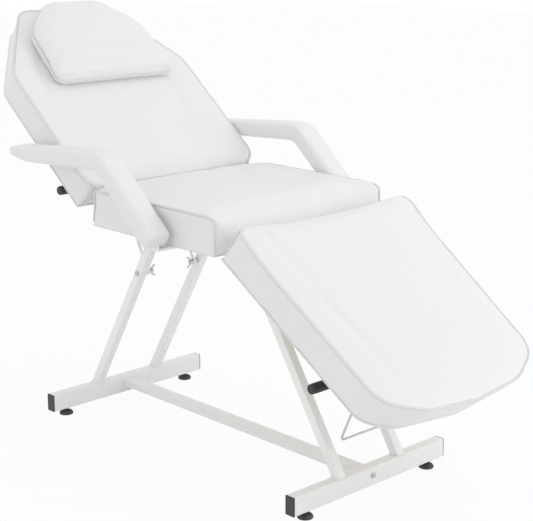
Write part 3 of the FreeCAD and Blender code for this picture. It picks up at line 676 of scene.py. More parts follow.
def edge_lines(points, ring, lines):
    """Ridges and valleys that run beside the long edges of a pad."""
    x, y = points[:, 0], points[:, 1]
    inboard = half_width_at(ring, x) - abs(y)
    rise = np.zeros(len(points))
    for side, centre, drift, width, height, phase, start, end in lines:
        wander = centre + drift * x + 0.003 * slow_wave(x, CREASE_LENGTH, phase)
        strength = 0.75 + 0.25 * slow_wave(x, CREASE_LENGTH * 0.7, phase + 1)
        ends = unit((x - start) / CREASE_FADE) * unit((end - x) / CREASE_FADE)
        rise += np.where(y * side > 0, height * strength * ends * bell(inboard, wander, width), 0)
    return rise


# %% [markdown]
# ## The three pads
# One function makes each pad: grid, rolled ends, pressure, ridges, one subdivision. The rolled ends are made by
# letting the edge relax, which rounds it as stretched vinyl does, while the seam and the lower edge stay sharp.

# %% Make a pad
PAD_GRID = 0.006
UNDER_LIFT = 0.0015
CORNER_CUT = 0.0035
LOW_RADIUS = 0.006
ROLL_REACH, ROLL_DEPTH, ROLL_BLEND, ROLL_ROUNDS = 0.03, 0.06, 0.02, 50
SLACK = 0.5
HELD_REACH = 0.8
SMOOTHING, SMOOTH_ROUNDS = 0.4, 6
WALL_LIMIT, TOP_LIMIT, STIFF_END = 0.003, 0.006, 0.04
END_FULLNESS, END_MIDDLE, END_SPREAD = 0.005, 0.034, 0.03
LIFT_FROM, LIFT_ALONG = 0.12, 0.08


def lifted(points, end, by, under, height):
    """Raise the corners at a pad's end, most at the seam and not at all at the board."""
    share = unit((points[:, 2] - under) / (height - under)) ** 1.5
    wide = unit((abs(points[:, 1]) - LIFT_FROM) / LIFT_FROM)
    raised = points.copy()
    raised[:, 2] += by * bell(points[:, 0], end, LIFT_ALONG) * share * wide
    return raised


def make_pad(name, rolled, piped, shape_top, corner_lift=0.0, roll=None):
    """An upholstered pad in its level frame, with its seam lines and the height of its underside."""
    solid = level_solid([name + "_cushion"], places[name])
    cushion = corners(solid)
    height, under = seam_height(cushion), cushion[:, 2].min()
    ring = seam_ring(cushion, height)
    mesh = even_quads(level_solid([name + "_cushion", name + "_board"], places[name]), PAD_GRID)
    points = snapped(corners(mesh), solid, under + PAD_GRID)
    points[:, 2] -= np.maximum(points[:, 2] - height, 0) * SLACK
    weight = np.zeros(len(points))
    share = unit((points[:, 2] - under) / (height - under))
    for end, sign, softness, radius in rolled:
        half = half_width_at(ring, end + sign * 0.02)
        points = round_corners(points, end, sign, half, LOW_RADIUS + (radius - LOW_RADIUS) * share)
        ring = round_corners(ring, end, sign, half, np.full(len(ring), radius))
        near = unit(1.6 - (points[:, 0] - end) * sign / ROLL_REACH)
        weight = np.maximum(weight, softness * near * unit((points[:, 2] - height + ROLL_DEPTH) / ROLL_BLEND))
        if roll and end == roll[0]:
            points = rolled_over(points, end, sign, half, *roll[1:])
    points = relaxed(mesh, points, weight, ROLL_ROUNDS)
    set_corners(mesh, points)
    ring = closed_steps(ring, SEAM_STEP)
    seam = at_height(ring, height)
    held = (distance_to(points, seam) < PAD_GRID * HELD_REACH) & (weight < 0.05)
    held |= points[:, 2] < under + PAD_GRID
    top = unit((points[:, 2] - height + 0.01) / 0.01)
    piece = new_object(name + "_pad", mesh)
    limit = WALL_LIMIT + TOP_LIMIT * top
    for end, sign, *_ in rolled:
        limit *= np.where((points[:, 0] - end) * sign < STIFF_END, 0.25 + 0.75 * top, 1.0)
    points = inflated(piece, held, limit)
    points = relaxed(mesh, points, np.where(held, 0.0, SMOOTHING), SMOOTH_ROUNDS)
    set_corners(mesh, points)
    finer(piece)
    points = corners(piece.data)
    points[:, 2] += shape_top(points, ring) * unit((points[:, 2] - height) / 0.004)
    for end, sign, *_ in rolled:
        full = bell(points[:, 2], height - END_MIDDLE, END_SPREAD)
        points[:, 0] -= sign * END_FULLNESS * full * unit(1 - (points[:, 0] - end) * sign / END_SPREAD)
    points[:, 2] = np.maximum(points[:, 2], under + UNDER_LIFT)
    lines = stretches(seam, (ring[:, 0] > piped[0]) & (ring[:, 0] < piped[1]))
    raised = (rolled[0][0], corner_lift, under, height)
    lines = [lifted(turned_down(line, under), *raised) for line in lines]
    set_corners(piece.data, lifted(points, *raised))
    sewn_in(piece.data, lines, height - 0.003)
    print(name, "pad", len(points), "points, seam at", round(height * 1000, 1), "mm,", len(lines), "piped lines")
    return piece, lines, under


def settle(piece, place, body, *nodes):
    """Put a finished pad in its resting place, on its body, in place of its modelled solids."""
    piece.data.transform(place)
    piece.data.materials.clear()
    piece.data.materials.append(white_vinyl)
    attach(piece, body)
    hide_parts(*nodes)


# %% Seat
pads = {}
seat_low, seat_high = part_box("seat_cushion")


def seat_top(points, ring):
    """The seat's front roll stands a little full, with a fold beside each front corner."""
    near, far, edge = seat_low.x, seat_high.x, seat_high.y
    lines = []
    for side in (-1, 1):
        lines += [(side, 0.036, 0.0, 0.026, 0.0030, side, near, far),
                  (side, 0.082, 0.0, 0.018, -0.0024, side + 0.6, near, far - 0.03)]
    lines.append((1, 0.235, 0.05, 0.018, -0.0034, 0.3, near - 0.05, far))
    rise = edge_lines(points, ring, lines)
    rise += 0.0022 * bell(points[:, 0], far - 0.045, 0.022)
    return rise + corner_folds(points, (far - 0.008, edge - 0.05), (far - 0.068, edge - 0.08), 0.006, -0.0022)


pads["seat"] = make_pad("seat", [(seat_low.x, 1, 0.4, 0.014), (seat_high.x, -1, 0.3, 0.014)],
                        (seat_low.x + CORNER_CUT, seat_high.x - CORNER_CUT), seat_top, roll=(seat_high.x, 0.09, 0.08))

# %% Backrest
backrest_near = level_points("backrest", "_cushion")[:, 0].max()


def backrest_top(points, ring):
    """Two creases on the far side and one on the near side, and folds at the lower corners."""
    lines = [(1, 0.055, 0.0, 0.048, 0.0046, 0.4, -0.62, 0.0), (1, 0.128, 0.02, 0.017, -0.0062, 0.4, -0.6, 0.0),
             (1, 0.080, 0.0, 0.012, -0.0034, 1.7, -0.4, -0.02), (-1, 0.040, 0.0, 0.034, 0.0034, 2.2, -0.58, 0.0),
             (-1, 0.084, 0.0, 0.015, -0.0032, 2.2, -0.55, 0.0)]
    folds = corner_folds(points, (backrest_near - 0.02, 0.25), (backrest_near - 0.09, 0.21), 0.007, -0.0022)
    return edge_lines(points, ring, lines) + folds


pads["backrest"] = make_pad("backrest", [(backrest_near, -1, 0.35, 0.045)], (-1.0, backrest_near - CORNER_CUT),
                            backrest_top)

# %% Leg rest
leg_rest_near = level_points("leg_rest", "_cushion")[:, 0].min()


def leg_rest_top(points, ring):
    """A bright ridge and a valley inside each long edge, which fade towards the foot end."""
    lines = [(-1, 0.040, 0.02, 0.030, 0.0030, 0.9, -0.08, 0.57), (-1, 0.070, 0.055, 0.014, -0.0052, 0.9, -0.08, 0.57),
             (1, 0.040, 0.0, 0.034, 0.0024, 3.1, -0.08, 0.55), (1, 0.082, 0.0, 0.016, -0.0014, 3.1, 0.0, 0.4)]
    folds = corner_folds(points, (leg_rest_near + 0.012, 0.235), (leg_rest_near + 0.062, 0.222), 0.006, -0.0024)
    return edge_lines(points, ring, lines) + folds


pads["leg_rest"] = make_pad("leg_rest", [(leg_rest_near, 1, 0.05, 0.03)], (leg_rest_near + CORNER_CUT, 1.0),
                            leg_rest_top, corner_lift=0.011)

# %% [markdown]
# ## Piping
# The welt is a cord of about six millimetres, wrapped in the same vinyl and sewn into the seam. Its colour is
# painted a shade darker than the pad's, as painted shade of the seam. It is a tube along a line, which Geometry
# Nodes make well: the line goes in as bare edges, and the tree turns it into an even curve with a round profile.
# The line is laid in the groove of the finished seam, so that a fine shadow shows on both sides. At the corners
# of a rolled end the seam turns down the wall.


# %% A tree that makes tubes along lines
def geometry_group(name, inputs):
    """An empty geometry tree with named inputs, and what its inputs give."""
    group = bpy.data.node_groups.new(name, "GeometryNodeTree")
    group.interface.new_socket("Geometry", in_out="INPUT", socket_type="NodeSocketGeometry")
    for label, (kind, value) in inputs.items():
        socket = group.interface.new_socket(label, in_out="INPUT", socket_type="NodeSocket" + kind)
        if value is not None:
            socket.default_value = value
    group.interface.new_socket("Geometry", in_out="OUTPUT", socket_type="NodeSocketGeometry")
    return group, add(group, "NodeGroupInput").outputs


def close_tree(group, geometry, given):
    """Realize a tree's instances and give them their finish."""
    real = add(group, "GeometryNodeRealizeInstances", {"Geometry": geometry})
    paint = add(group, "GeometryNodeSetMaterial",
                {"Geometry": real.outputs["Geometry"], "Material": given["Finish"]})
    add(group, "NodeGroupOutput", {"Geometry": paint.outputs["Geometry"]})


tree, given = geometry_group("tube_along_lines", {
    "Radius": ("Float", 0.0026), "Sides": ("Int", 10), "Step": ("Float", 0.004), "Finish": ("Material", None)})
line = add(tree, "GeometryNodeMeshToCurve", {"Mesh": given["Geometry"]})
even = add(tree, "GeometryNodeResampleCurve", {"Curve": line.outputs["Curve"], "Length": given["Step"]}, mode="LENGTH")
circle = add(tree, "GeometryNodeCurvePrimitiveCircle", {"Radius": given["Radius"], "Resolution": given["Sides"]},
             mode="RADIUS")
skin = add(tree, "GeometryNodeCurveToMesh",
           {"Curve": even.outputs["Curve"], "Profile Curve": circle.outputs["Curve"], "Fill Caps": True})
smooth = add(tree, "GeometryNodeSetShadeSmooth", {"Geometry": skin.outputs["Mesh"]})
close_tree(tree, smooth.outputs["Geometry"], given)
tube_tree = tree
print("tube tree", len(tree.nodes), "nodes")


# %% Run a tree on a guide
def line_guide(lines, closed=False):
    """Lines as a mesh of bare edges."""
    points, edges = [], []
    for line in lines:
        first = len(points)
        points += [tuple(point) for point in line]
        edges += [(index, index + 1) for index in range(first, len(points) - 1)]
        if closed:
            edges.append((len(points) - 1, first))
    guide = bpy.data.meshes.new("guide")
    guide.from_pydata(points, edges, [])
    return guide


def grown(name, guide, tree, body, slot, place=LEVEL, **values):
    """What a geometry tree makes of a level guide, as a plain mesh that rides on a body."""
    carrier = new_object(name + "_guide", guide)
    grow = carrier.modifiers.new("grow", "NODES")
    grow.node_group = tree
    labels = {item.name: item.identifier for item in tree.interface.items_tree if item.in_out == "INPUT"}
    for label, value in values.items():
        grow[labels[label]] = value
    piece = new_object(name, as_mesh(carrier))
    bpy.data.objects.remove(carrier)
    piece.data.transform(place)
    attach(piece, body)
    print(name, len(piece.data.polygons), "faces")


# %% Lay the piping on the pads
PIPING_RADIUS = 0.0029
PIPING_LIFT = 0.9


def laid(line, surface, closed=False):
    """A line moved onto a surface, as high as the piping's middle, and smoothed along its length."""
    points = []
    for point in line:
        place, normal = surface.find_nearest(Vector(point))[:2]
        points.append(place + normal * (PIPING_RADIUS * PIPING_LIFT))
    points = np.array(points)
    for _ in range(3):
        if closed:
            points = (np.roll(points, 1, axis=0) + 2 * points + np.roll(points, -1, axis=0)) / 4
        else:
            points[1:-1] = (points[:-2] + 2 * points[1:-1] + points[2:]) / 4
    return points


# The piping takes the darker vinyl: painted shade for the shadow along each seam.
for name, (pad, lines, under) in pads.items():
    surface = surface_tree(pad.data)
    grown(name + "_piping", line_guide([laid(line, surface) for line in lines]), tube_tree, bodies[name], "white_vinyl",
          places[name], Radius=PIPING_RADIUS, Finish=piping_painted_shade)

# %% [markdown]
# ## The head pillow
# The pillow is a soft D-shaped block that lies on the backrest. It is made in the same way, but its underside
# follows the crown of the backrest, so that no light shows beneath it.

# %% Pillow
PILLOW_GRID = 0.005
PILLOW_SLACK = 0.06
PILLOW_WALL_LIMIT, PILLOW_TOP_LIMIT = 0.0015, 0.003
BOW_LENGTH, BOW_SHARE = 0.17, 0.08
LOW_SEAM, SEAM_CLIMB, CLIMB_LENGTH = 0.009, 0.013, 0.08
REST_GAP = 0.0006
RIDGE_HEIGHT, RIDGE_PLACE, RIDGE_WIDTH = 0.0035, 0.066, 0.016


def bowed(points):
    """Points of the pillow widened beside its head end, so that its outline is a full curve there."""
    along = unit((points[:, 0] - pillow_solid[:, 0].min()) / BOW_LENGTH)
    wider = points.copy()
    wider[:, 1] *= 1 + BOW_SHARE * np.sin(np.pi * along) ** 2
    return wider


pillow_mould = level_solid(["head_pillow"], places["backrest"])
pillow_solid = corners(pillow_mould)
pillow_seam, pillow_base = seam_height(pillow_solid), pillow_solid[:, 2].min()
pillow_end = pillow_solid[:, 0].max()
pillow_ring = bowed(seam_ring(pillow_solid, pillow_seam))
pillow = new_object("pillow_pad", even_quads(pillow_mould.copy(), PILLOW_GRID))
points = bowed(snapped(corners(pillow.data), pillow_mould, pillow_base))
seam_rise = LOW_SEAM + SEAM_CLIMB * unit((pillow_end - pillow_ring[:, 0]) / CLIMB_LENGTH)
seam = np.column_stack([pillow_ring, pillow_base + seam_rise])
held = (distance_to(points, seam) < PILLOW_GRID * HELD_REACH) | (points[:, 2] < pillow_base + PILLOW_GRID)
top = unit((points[:, 2] - pillow_seam + 0.008) / 0.008)
points[:, 2] -= np.maximum(points[:, 2] - pillow_seam, 0) * PILLOW_SLACK
set_corners(pillow.data, points)
points = inflated(pillow, held, PILLOW_WALL_LIMIT + PILLOW_TOP_LIMIT * top)
points = relaxed(pillow.data, points, np.where(held, 0.0, SMOOTHING), 2)
set_corners(pillow.data, points)
finer(pillow)

# %% Lay the pillow on the backrest
points = corners(pillow.data)
backrest_skin = surface_tree(pads["backrest"][0].data)
low = unit((pillow_seam - points[:, 2]) / (pillow_seam - pillow_base))
for index in np.flatnonzero(low > 0):
    x, y, _ = points[index]
    hit = backrest_skin.ray_cast(Vector((x, y, pillow_base + 0.03)), Vector((0, 0, -1)))[0]
    if hit is not None:
        points[index, 2] += (hit.z + REST_GAP - pillow_base) * low[index]
points[:, 2] += RIDGE_HEIGHT * bell(pillow_end - points[:, 0], RIDGE_PLACE, RIDGE_WIDTH) * (low == 0)
set_corners(pillow.data, points)
sewn_in(pillow.data, [seam], 0.0)
print("pillow", len(points), "points, seam at", round(pillow_seam * 1000, 1), "mm")
welt = laid(seam, surface_tree(pillow.data), closed=True)
# The pillow's piping takes the darker vinyl too: painted shade for the shadow along its seam.
grown("pillow_piping", line_guide([welt], closed=True), tube_tree, "pillow", "white_vinyl", places["backrest"],
      Radius=PIPING_RADIUS, Finish=piping_painted_shade)

# %% [markdown]
# ## Armrests
# Each armrest is one wrapped bar: a sloping post, a bend and a level part that thins towards its end. A bar whose
# section changes along a bent path follows a rule, so it is built ring by ring, with a rounded square as section
# and the ends drawn in to a point. A little pressure then takes the stiffness out of it.

# %% Shells from rings
ALONG, ACROSS, UP = np.eye(3)


def bands(rings, around, closed=False):
    """Faces between each ring of points and the next one."""
    faces = []
    for ring in range(rings if closed else rings - 1):
        here, there = ring * around, (ring + 1) % rings * around
        for index in range(around):
            after = (index + 1) % around
            faces.append((here + index, there + index, there + after, here + after))
    return faces


def closed_mesh(name, points, faces):
    """A closed mesh with its faces outwards."""
    mesh = bpy.data.meshes.new(name)
    mesh.from_pydata(points, [], faces)
    shell = bmesh.new()
    shell.from_mesh(mesh)
    bmesh.ops.remove_doubles(shell, verts=shell.verts, dist=1e-7)
    bmesh.ops.recalc_face_normals(shell, faces=shell.faces)
    shell.to_mesh(mesh)
    shell.free()
    return mesh


def round_turns(count):
    """Even angles round a circle."""
    return np.linspace(0, 2 * math.pi, count, endpoint=False)


def circled(turns, radius, first, second):
    """Points round the origin at given angles, in the plane of two directions."""
    return radius * (np.outer(np.cos(turns), first) + np.outer(np.sin(turns), second))


# %% Armrest form
ARM_CORNER = np.array([-0.11082, 0.814])
ARM_POST, ARM_TAIL, ARM_BEND = 0.275, 0.398, 0.062
ARM_WIDTH, ARM_THICK, ARM_TAIL_THICK = 0.070, 0.052, 0.040
ARM_AROUND, ARM_STEP = 44, 0.0055
ARM_ROUNDING = 0.42
ARM_FULLNESS = 0.0025
POST_NOSE, TAIL_NOSE, TAIL_LIFT = 0.016, 0.022, 0.09
post_slope, tail_fall = math.radians(41.5), math.radians(3.8)
post_way = np.array([math.cos(post_slope), -math.sin(post_slope)])
tail_way = np.array([-math.cos(tail_fall), -math.sin(tail_fall)])
bend_turn = post_slope + tail_fall
bend_start = ARM_BEND * math.tan(bend_turn / 2)


def arm_station(length):
    """Centre and direction of the armrest's path at a length from the foot of its post."""
    straight = ARM_POST - bend_start
    arc = ARM_BEND * bend_turn
    if length < straight:
        return ARM_CORNER + post_way * (ARM_POST - length), -post_way
    if length > straight + arc:
        return ARM_CORNER + tail_way * (bend_start + length - straight - arc), tail_way
    turn = (length - straight) / ARM_BEND
    way = -post_way
    side = np.array([-way[1], way[0]])
    centre = ARM_CORNER + post_way * bend_start + side * ARM_BEND
    here = centre - side * ARM_BEND * math.cos(turn) + way * ARM_BEND * math.sin(turn)
    return here, way * math.cos(turn) + side * math.sin(turn)


def arm_mesh():
    """The armrest's skin in the plane of its own path, as rings of a rounded square."""
    whole = ARM_POST + ARM_TAIL - 2 * bend_start + ARM_BEND * bend_turn
    lengths = np.linspace(0, whole, int(whole / ARM_STEP))
    inner = [POST_NOSE * (1 - math.cos(math.radians(turn))) for turn in (14, 30, 48, 66)]
    outer = [whole - TAIL_NOSE * (1 - math.cos(math.radians(turn))) for turn in (66, 48, 30, 14)]
    lengths = [*inner, *lengths[(lengths > POST_NOSE) & (lengths < whole - TAIL_NOSE)], *outer]
    points = []
    for length in lengths:
        centre, way = arm_station(length)
        across = np.array([-way[1], way[0]])
        start, end = unit(1 - length / POST_NOSE), unit(1 - (whole - length) / TAIL_NOSE)
        share = unit((length - ARM_POST) / (whole - ARM_POST))
        thick = ARM_THICK + (ARM_TAIL_THICK - ARM_THICK) * share
        draw_post, draw_tail = 1 - math.sqrt(1 - start ** 2), 1 - math.sqrt(1 - end ** 2)
        wide = ARM_WIDTH - 2 * POST_NOSE * draw_post - 2 * TAIL_NOSE * draw_tail
        thick -= 2 * min(POST_NOSE, thick * 0.45) * draw_post + 2 * min(TAIL_NOSE, thick * 0.3) * draw_tail
        lift = thick * 0.5 * unit(1 - (whole - length) / TAIL_LIFT) ** 1.6
        for turn in 2 * math.pi * np.arange(ARM_AROUND) / ARM_AROUND:
            a, b = math.cos(turn), math.sin(turn)
            y = wide / 2 * math.copysign(abs(a) ** ARM_ROUNDING, a)
            rise = thick / 2 * math.copysign(abs(b) ** ARM_ROUNDING, b)
            rise += lift * (0.5 - rise / thick)
            points.append((centre[0] - across[0] * rise, y, centre[1] - across[1] * rise))
    faces = bands(len(lengths), ARM_AROUND)
    for first in (0, (len(lengths) - 1) * ARM_AROUND):
        hub = len(points)
        points.append(tuple(np.mean(points[first:first + ARM_AROUND], axis=0)))
        faces += [(hub, first + index, first + (index + 1) % ARM_AROUND) for index in range(ARM_AROUND)]
    return closed_mesh("armrest", points, faces)


# %% Left and right armrests
arm_offset = sum(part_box("armrest_pad_left")[index].y for index in (0, 1)) / 2
for side, label in ((1, "left"), (-1, "right")):
    arm = new_object("armrest_" + label, arm_mesh())
    count = len(arm.data.vertices)
    underside = abs(np.arange(count) % ARM_AROUND - ARM_AROUND * 0.75) < 3
    points = inflated(arm, underside, np.full(count, ARM_FULLNESS))
    points = relaxed(arm.data, points, np.full(count, 0.3), 3)
    points[:, 1] += side * arm_offset
    set_corners(arm.data, points)
    finer(arm)
    settle(arm, LEVEL, "frame", "armrest_pad_" + label)
    print(arm.name, len(arm.data.polygons), "faces")

# %% [markdown]
# ## The underside
# Under each pad the vinyl is pulled round the board and stapled to it, so a strip of vinyl two fingers wide
# frames the bare plywood. The strip is a flat band with an uneven cut edge, joined to its pad. The staples repeat
# along a line at uneven angles. A tree sets a small part at even steps along a line, lays it along the line with
# its back to a given direction, and turns each one a little.

# %% Hems
HEM_STEP, HEM_WIDTH = 0.002, 0.034


def drawn_in(ring, by):
    """A convex outline made smaller all round."""
    middle, half = (ring.min(0) + ring.max(0)) / 2, (ring.max(0) - ring.min(0)) / 2
    return middle + (ring - middle) * (1 - np.asarray(by).reshape(-1, 1) / half)


def hem_mesh(ring, under):
    """A band of vinyl below the rim of a board, thin, with a rounded outer fold and an uneven inner edge."""
    turn = np.arange(len(ring)) / len(ring)
    inner = HEM_WIDTH + 0.0018 * slow_wave(turn, 0.11, 0.7) + 0.0012 * slow_wave(turn, 0.031, 2.0)
    section = [(-0.0048, 0.0018), (-0.0052, 0.0004), (-0.0032, -0.0007), (0.004, -0.0010), (inner, -0.0008),
               (inner, 0.0004)]
    points = np.vstack([at_height(drawn_in(ring, by), under + z) for by, z in section])
    return smooth_shaded(closed_mesh("hem", points, bands(len(section), len(ring), closed=True)))


board_rings = {}
for name, (pad, lines, under) in pads.items():
    board_rings[name] = seam_ring(level_points(name, "_board"), under, HEM_STEP)
    joined = bmesh.new()
    joined.from_mesh(pad.data)
    joined.from_mesh(hem_mesh(board_rings[name], under))
    joined.to_mesh(pad.data)
    joined.free()
print("hems", {name: len(ring) for name, ring in board_rings.items()})


# %% Trees that set small parts
def set_parts(tree, points, rotation, given):
    """Set a part on points, each turned a little more about its own upright."""
    least = math_node(tree, "MULTIPLY", given["Turn"], -1.0)
    spin = add(tree, "FunctionNodeRandomValue", {2: least, 3: given["Turn"], "Seed": given["Seed"]}, data_type="FLOAT")
    about = add(tree, "FunctionNodeAxisAngleToRotation", {"Axis": (0, 0, 1), "Angle": spin.outputs[1]})
    turn = add(tree, "FunctionNodeRotateRotation", {"Rotation": rotation, "Rotate By": about.outputs["Rotation"]},
               rotation_space="LOCAL")
    part = add(tree, "GeometryNodeObjectInfo", {"Object": given["Part"]})
    row = add(tree, "GeometryNodeInstanceOnPoints", {"Points": points, "Instance": part.outputs["Geometry"],
                                                     "Rotation": turn.outputs["Rotation"]})
    close_tree(tree, row.outputs["Instances"], given)


part_inputs = {"Part": ("Object", None), "Turn": ("Float", 0.0), "Seed": ("Int", 7), "Finish": ("Material", None)}
tree, given = geometry_group("parts_along_lines", {
    **part_inputs, "Step": ("Float", 0.02), "Up": ("Vector", (0.0, 0.0, 1.0))})
line = add(tree, "GeometryNodeMeshToCurve", {"Mesh": given["Geometry"]})
stops = add(tree, "GeometryNodeCurveToPoints", {"Curve": line.outputs["Curve"], "Length": given["Step"]}, mode="LENGTH")
along = add(tree, "FunctionNodeAlignRotationToVector", {"Vector": stops.outputs["Tangent"]}, axis="X")
upright = add(tree, "FunctionNodeAlignRotationToVector",
              {"Rotation": along.outputs["Rotation"], "Vector": given["Up"]}, axis="Z", pivot_axis="X")
set_parts(tree, stops.outputs["Points"], upright.outputs["Rotation"], given)
row_tree = tree

tree, given = geometry_group("parts_on_spots", part_inputs)
way = add(tree, "GeometryNodeInputNamedAttribute", {"Name": "way"}, data_type="FLOAT_VECTOR")
facing = add(tree, "FunctionNodeAlignRotationToVector", {"Vector": way.outputs["Attribute"]}, axis="Z")
set_parts(tree, given["Geometry"], facing.outputs["Rotation"], given)
spot_tree = tree
print("geometry trees", [group.name for group in bpy.data.node_groups if group.type == "GEOMETRY"])

# %% Staples
STAPLE_PATH = [(-0.005, -0.003), (-0.005, -0.0004), (-0.0044, 0.0003), (0.0044, 0.0003), (0.005, -0.0004),
               (0.005, -0.003)]
STAPLE_WIRE = 0.0008
STAPLE_INSET, STAPLE_DEPTH, STAPLE_STEP = 0.021, 0.0009, 0.026
DOWN = (0.0, 0.0, -1.0)


def ended(points, around):
    """Faces of a row of rings whose first and last ring are closed."""
    ends = [tuple(range(first, first + around)) for first in (0, len(points) - around)]
    return bands(len(points) // around, around) + ends


def staple_mesh():
    """A square wire along the staple's path, in the plane of X and Z."""
    half, points = STAPLE_WIRE / 2, []
    for index, (x, z) in enumerate(STAPLE_PATH):
        run = np.subtract(STAPLE_PATH[min(index + 1, len(STAPLE_PATH) - 1)], STAPLE_PATH[max(index - 1, 0)])
        a, b = np.array([-run[1], run[0]]) / np.linalg.norm(run) * half
        points += [(x + a, -half, z + b), (x + a, half, z + b), (x - a, half, z - b), (x - a, -half, z - b)]
    return closed_mesh("staple", points, ended(points, 4))


staple = new_object("staple", staple_mesh())
for name, (pad, lines, under) in pads.items():
    row = at_height(drawn_in(board_rings[name], STAPLE_INSET), under - STAPLE_DEPTH)
    grown(name + "_staples", line_guide([row], closed=True), row_tree, bodies[name], "zinc_steel", places[name],
          Part=staple, Step=STAPLE_STEP, Up=DOWN, Turn=0.22, Seed=11, Finish=zinc_plate)
bpy.data.objects.remove(staple)

# %% [markdown]
# ## Screws, welds and threads
# Pan-head screws go up through the rails and the armrest brackets into the boards. They stay clear of the racks,
# where the crossbars travel. The frame is welded, and a weld by hand is a row of overlapping drops, so the same
# row tree sets one flattened drop at short steps along each joint line. The studs of the feet get a thread as one
# long thin tube wound along a helix, and the grips get moulded ribs.

# %% Screws
SCREW_RADIUS, SCREW_HEIGHT, SCREW_SIDES = 0.0046, 0.0024, 16


def screw_mesh():
    """A pan head with a cross recess, its flat face at the origin and its top along Z."""
    cross = np.where(np.arange(SCREW_SIDES) % 4 == 0, 0.58, 0.16)[:, None]
    profile = [(1.0, 0.0), (1.0, 0.35), (0.9, 0.75), (0.68, 1.0), (cross, 1.02), (0.6 * cross, 0.4)]
    circle = circled(round_turns(SCREW_SIDES), SCREW_RADIUS, ALONG, ACROSS)
    points = np.vstack([circle * share + SCREW_HEIGHT * rise * UP for share, rise in profile])
    return closed_mesh("screw", points, ended(points, SCREW_SIDES))


def spot_guide(spots, way):
    """Points that carry a direction."""
    guide = bpy.data.meshes.new("spots")
    guide.from_pydata(spots, [], [])
    ways = guide.attributes.new("way", "FLOAT_VECTOR", "POINT")
    ways.data.foreach_set("vector", np.tile(way, len(spots)))
    return guide


seat_rail_low, seat_rail_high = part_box("seat_rail_left")
bracket_low, bracket_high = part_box("armrest_bracket_left")
rail_y = (seat_rail_low.y + seat_rail_high.y) / 2
bracket_x = (bracket_low.x + bracket_high.x) / 2
screw_spots = {name: [] for name in pads}
for side in (-1, 1):
    screw_spots["seat"] += [(x, side * rail_y, seat_rail_low.z) for x in (-0.13, -0.02, 0.09)]
    screw_spots["seat"] += [(bracket_x, side * y, bracket_low.z) for y in (0.165, 0.255)]
for name in ("backrest", "leg_rest"):
    rail, rack = level_points(name, "_rail_left"), level_points(name, "_racks")
    towards = np.sign(rail[:, 0].mean())
    rail_end, rack_end = abs(rail[:, 0]).max(), abs(rack[:, 0]).max()
    first = (abs(rail[:, 0]).min() + abs(rack[:, 0]).min()) / 2
    for x in (first, rack_end + 0.25 * (rail_end - rack_end), rail_end - 0.03):
        screw_spots[name] += [(towards * x, side * rail[:, 1].mean(), rail[:, 2].min()) for side in (-1, 1)]
screw = new_object("screw", screw_mesh())
for name, spots in screw_spots.items():
    grown(name + "_screws", spot_guide(spots, DOWN), spot_tree, bodies[name], "zinc_steel", places[name], Part=screw,
          Turn=math.pi, Seed=5, Finish=zinc_plate)
bpy.data.objects.remove(screw)

# %% Weld lines
WELD_GUIDE_STEP, WELD_STEP = 0.002, 0.0017
ROD_WELD_RADIUS, ROD_WELD_PLACE = 0.0042, 0.0065
ROD_SPREAD = {"backrest_strut": 0.170, "leg_rest_strut": 0.140}


def end_ring(node, axis, top):
    """The rectangle round a tube's end, in short steps."""
    points = corners(cad_nodes[node].data)
    value = points[:, axis].max() if top else points[:, axis].min()
    rim = points[abs(points[:, axis] - value) < 1e-4]
    low, high = rim.min(0), rim.max(0)
    a, b = [index for index in range(3) if index != axis]
    ring = np.full((4, 3), value)
    ring[:, a] = low[a], high[a], high[a], low[a]
    ring[:, b] = low[b], low[b], high[b], high[b]
    return closed_steps(ring, WELD_GUIDE_STEP)


tubes = [(end + "_leg_" + side, 2) for end in ("rear", "front") for side in ("left", "right")]
tubes += [("rear_cross_rail", 1), ("front_cross_rail", 1)]
weld_rings = {"frame": [end_ring(tube, axis, top) for tube, axis in tubes for top in (False, True)]}
for strut, spread in ROD_SPREAD.items():
    grip_low, grip_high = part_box(strut + "_grips")
    bar = (np.array(grip_low) + np.array(grip_high)) / 2
    run = np.array(joints[strut + "_swing"]["pos_m"]) - bar
    run /= np.linalg.norm(run)
    ring = bar + run * ROD_WELD_PLACE + circled(round_turns(20), ROD_WELD_RADIUS, np.cross(run, ACROSS), ACROSS)
    weld_rings[strut] = [ring + side * spread / 2 * ACROSS for side in (-1, 1)]
print("weld lines", {body: len(rings) for body, rings in weld_rings.items()})


# %% Welds
def drop_mesh(radius=0.0021, flatness=0.6, rows=4, around=8):
    """A flattened round drop of weld metal."""
    turns = round_turns(around)
    points = [flatness * radius * math.cos(rise) * ALONG + circled(turns, radius * math.sin(rise), ACROSS, UP)
              for rise in np.linspace(0, math.pi, rows + 1)]
    return smooth_shaded(closed_mesh("drop", np.vstack(points), bands(rows + 1, around)))


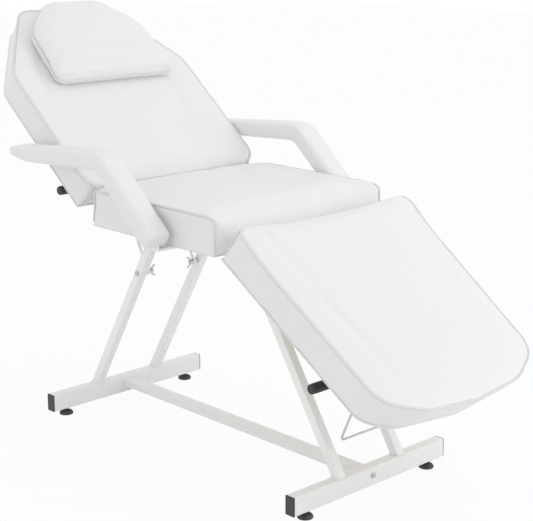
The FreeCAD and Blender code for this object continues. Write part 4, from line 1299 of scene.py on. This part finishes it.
drop = new_object("drop", drop_mesh())
for body, rings in weld_rings.items():
    grown(body + "_welds", line_guide(rings, closed=True), row_tree, body, "white_steel", Part=drop, Step=WELD_STEP,
          Turn=0.25, Seed=3, Finish=powder_coat)
for name in ("backrest", "leg_rest"):
    plate, rail = level_points(name, "_hinge_plates"), level_points(name, "_rail_left")
    low_z, outer_y = rail[:, 2].min(), plate[:, 1].max()
    nearest, furthest = sorted((rail[abs(rail[:, 0]).argmin(), 0], plate[abs(plate[:, 0]).argmax(), 0]))
    count = max(2, int((furthest - nearest) / WELD_GUIDE_STEP))
    beads = [np.linspace((nearest, y, low_z), (furthest, y, low_z), count) for y in (-outer_y, outer_y)]
    grown(name + "_welds", line_guide(beads), row_tree, name, "white_steel", places[name], Part=drop, Step=WELD_STEP,
          Turn=0.25, Seed=4, Finish=powder_coat)
bpy.data.objects.remove(drop)

# %% Threads
THREAD_PITCH, THREAD_TURNS = 0.00125, 20
THREAD_RADIUS, THREAD_START = 0.0039, 0.0135
turns = np.arange(0, 2 * math.pi * THREAD_TURNS, math.pi / 6)
helix = circled(turns, THREAD_RADIUS, ALONG, ACROSS) + np.outer(THREAD_PITCH * turns / (2 * math.pi), UP)
for end in ("front", "rear"):
    for side in ("left", "right"):
        foot = "levelling_foot_%s_%s" % (end, side)
        foot_low, foot_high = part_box(foot)
        start = ((foot_low.x + foot_high.x) / 2, (foot_low.y + foot_high.y) / 2, foot_low.z + THREAD_START)
        grown(foot + "_thread", line_guide([helix + start]), tube_tree, foot, "zinc_steel", Radius=THREAD_PITCH * 0.5,
              Sides=5, Step=0.0018, Finish=zinc_plate)

# %% Grip ribs
GRIP_LENGTH, GRIP_RADIUS = 0.062, 0.012
RIB_COUNT, RIB_MARGIN, RIB_RADIUS = 9, 0.008, 0.0008
circle = circled(round_turns(32), GRIP_RADIUS, ALONG, UP)
for strut in ("backrest_strut", "leg_rest_strut"):
    grip_low, grip_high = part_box(strut + "_grips")
    middle = (grip_low + grip_high) / 2
    ribs = np.linspace(grip_high.y - GRIP_LENGTH + RIB_MARGIN, grip_high.y - RIB_MARGIN, RIB_COUNT)
    rings = [circle + (middle.x, side * y, middle.z) for y in ribs for side in (-1, 1)]
    grown(strut + "_grip_ribs", line_guide(rings, closed=True), tube_tree, strut, "black_plastic", Radius=RIB_RADIUS,
          Sides=6, Step=0.0025, Finish=black_plastic)

# %% Settle the pads
for name, (pad, lines, under) in pads.items():
    settle(pad, places[name], bodies[name], name + "_cushion")
settle(pillow, places["backrest"], "pillow", "head_pillow")

low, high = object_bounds()
print("visual box", [round(b - a, 3) for a, b in zip(low, high)])
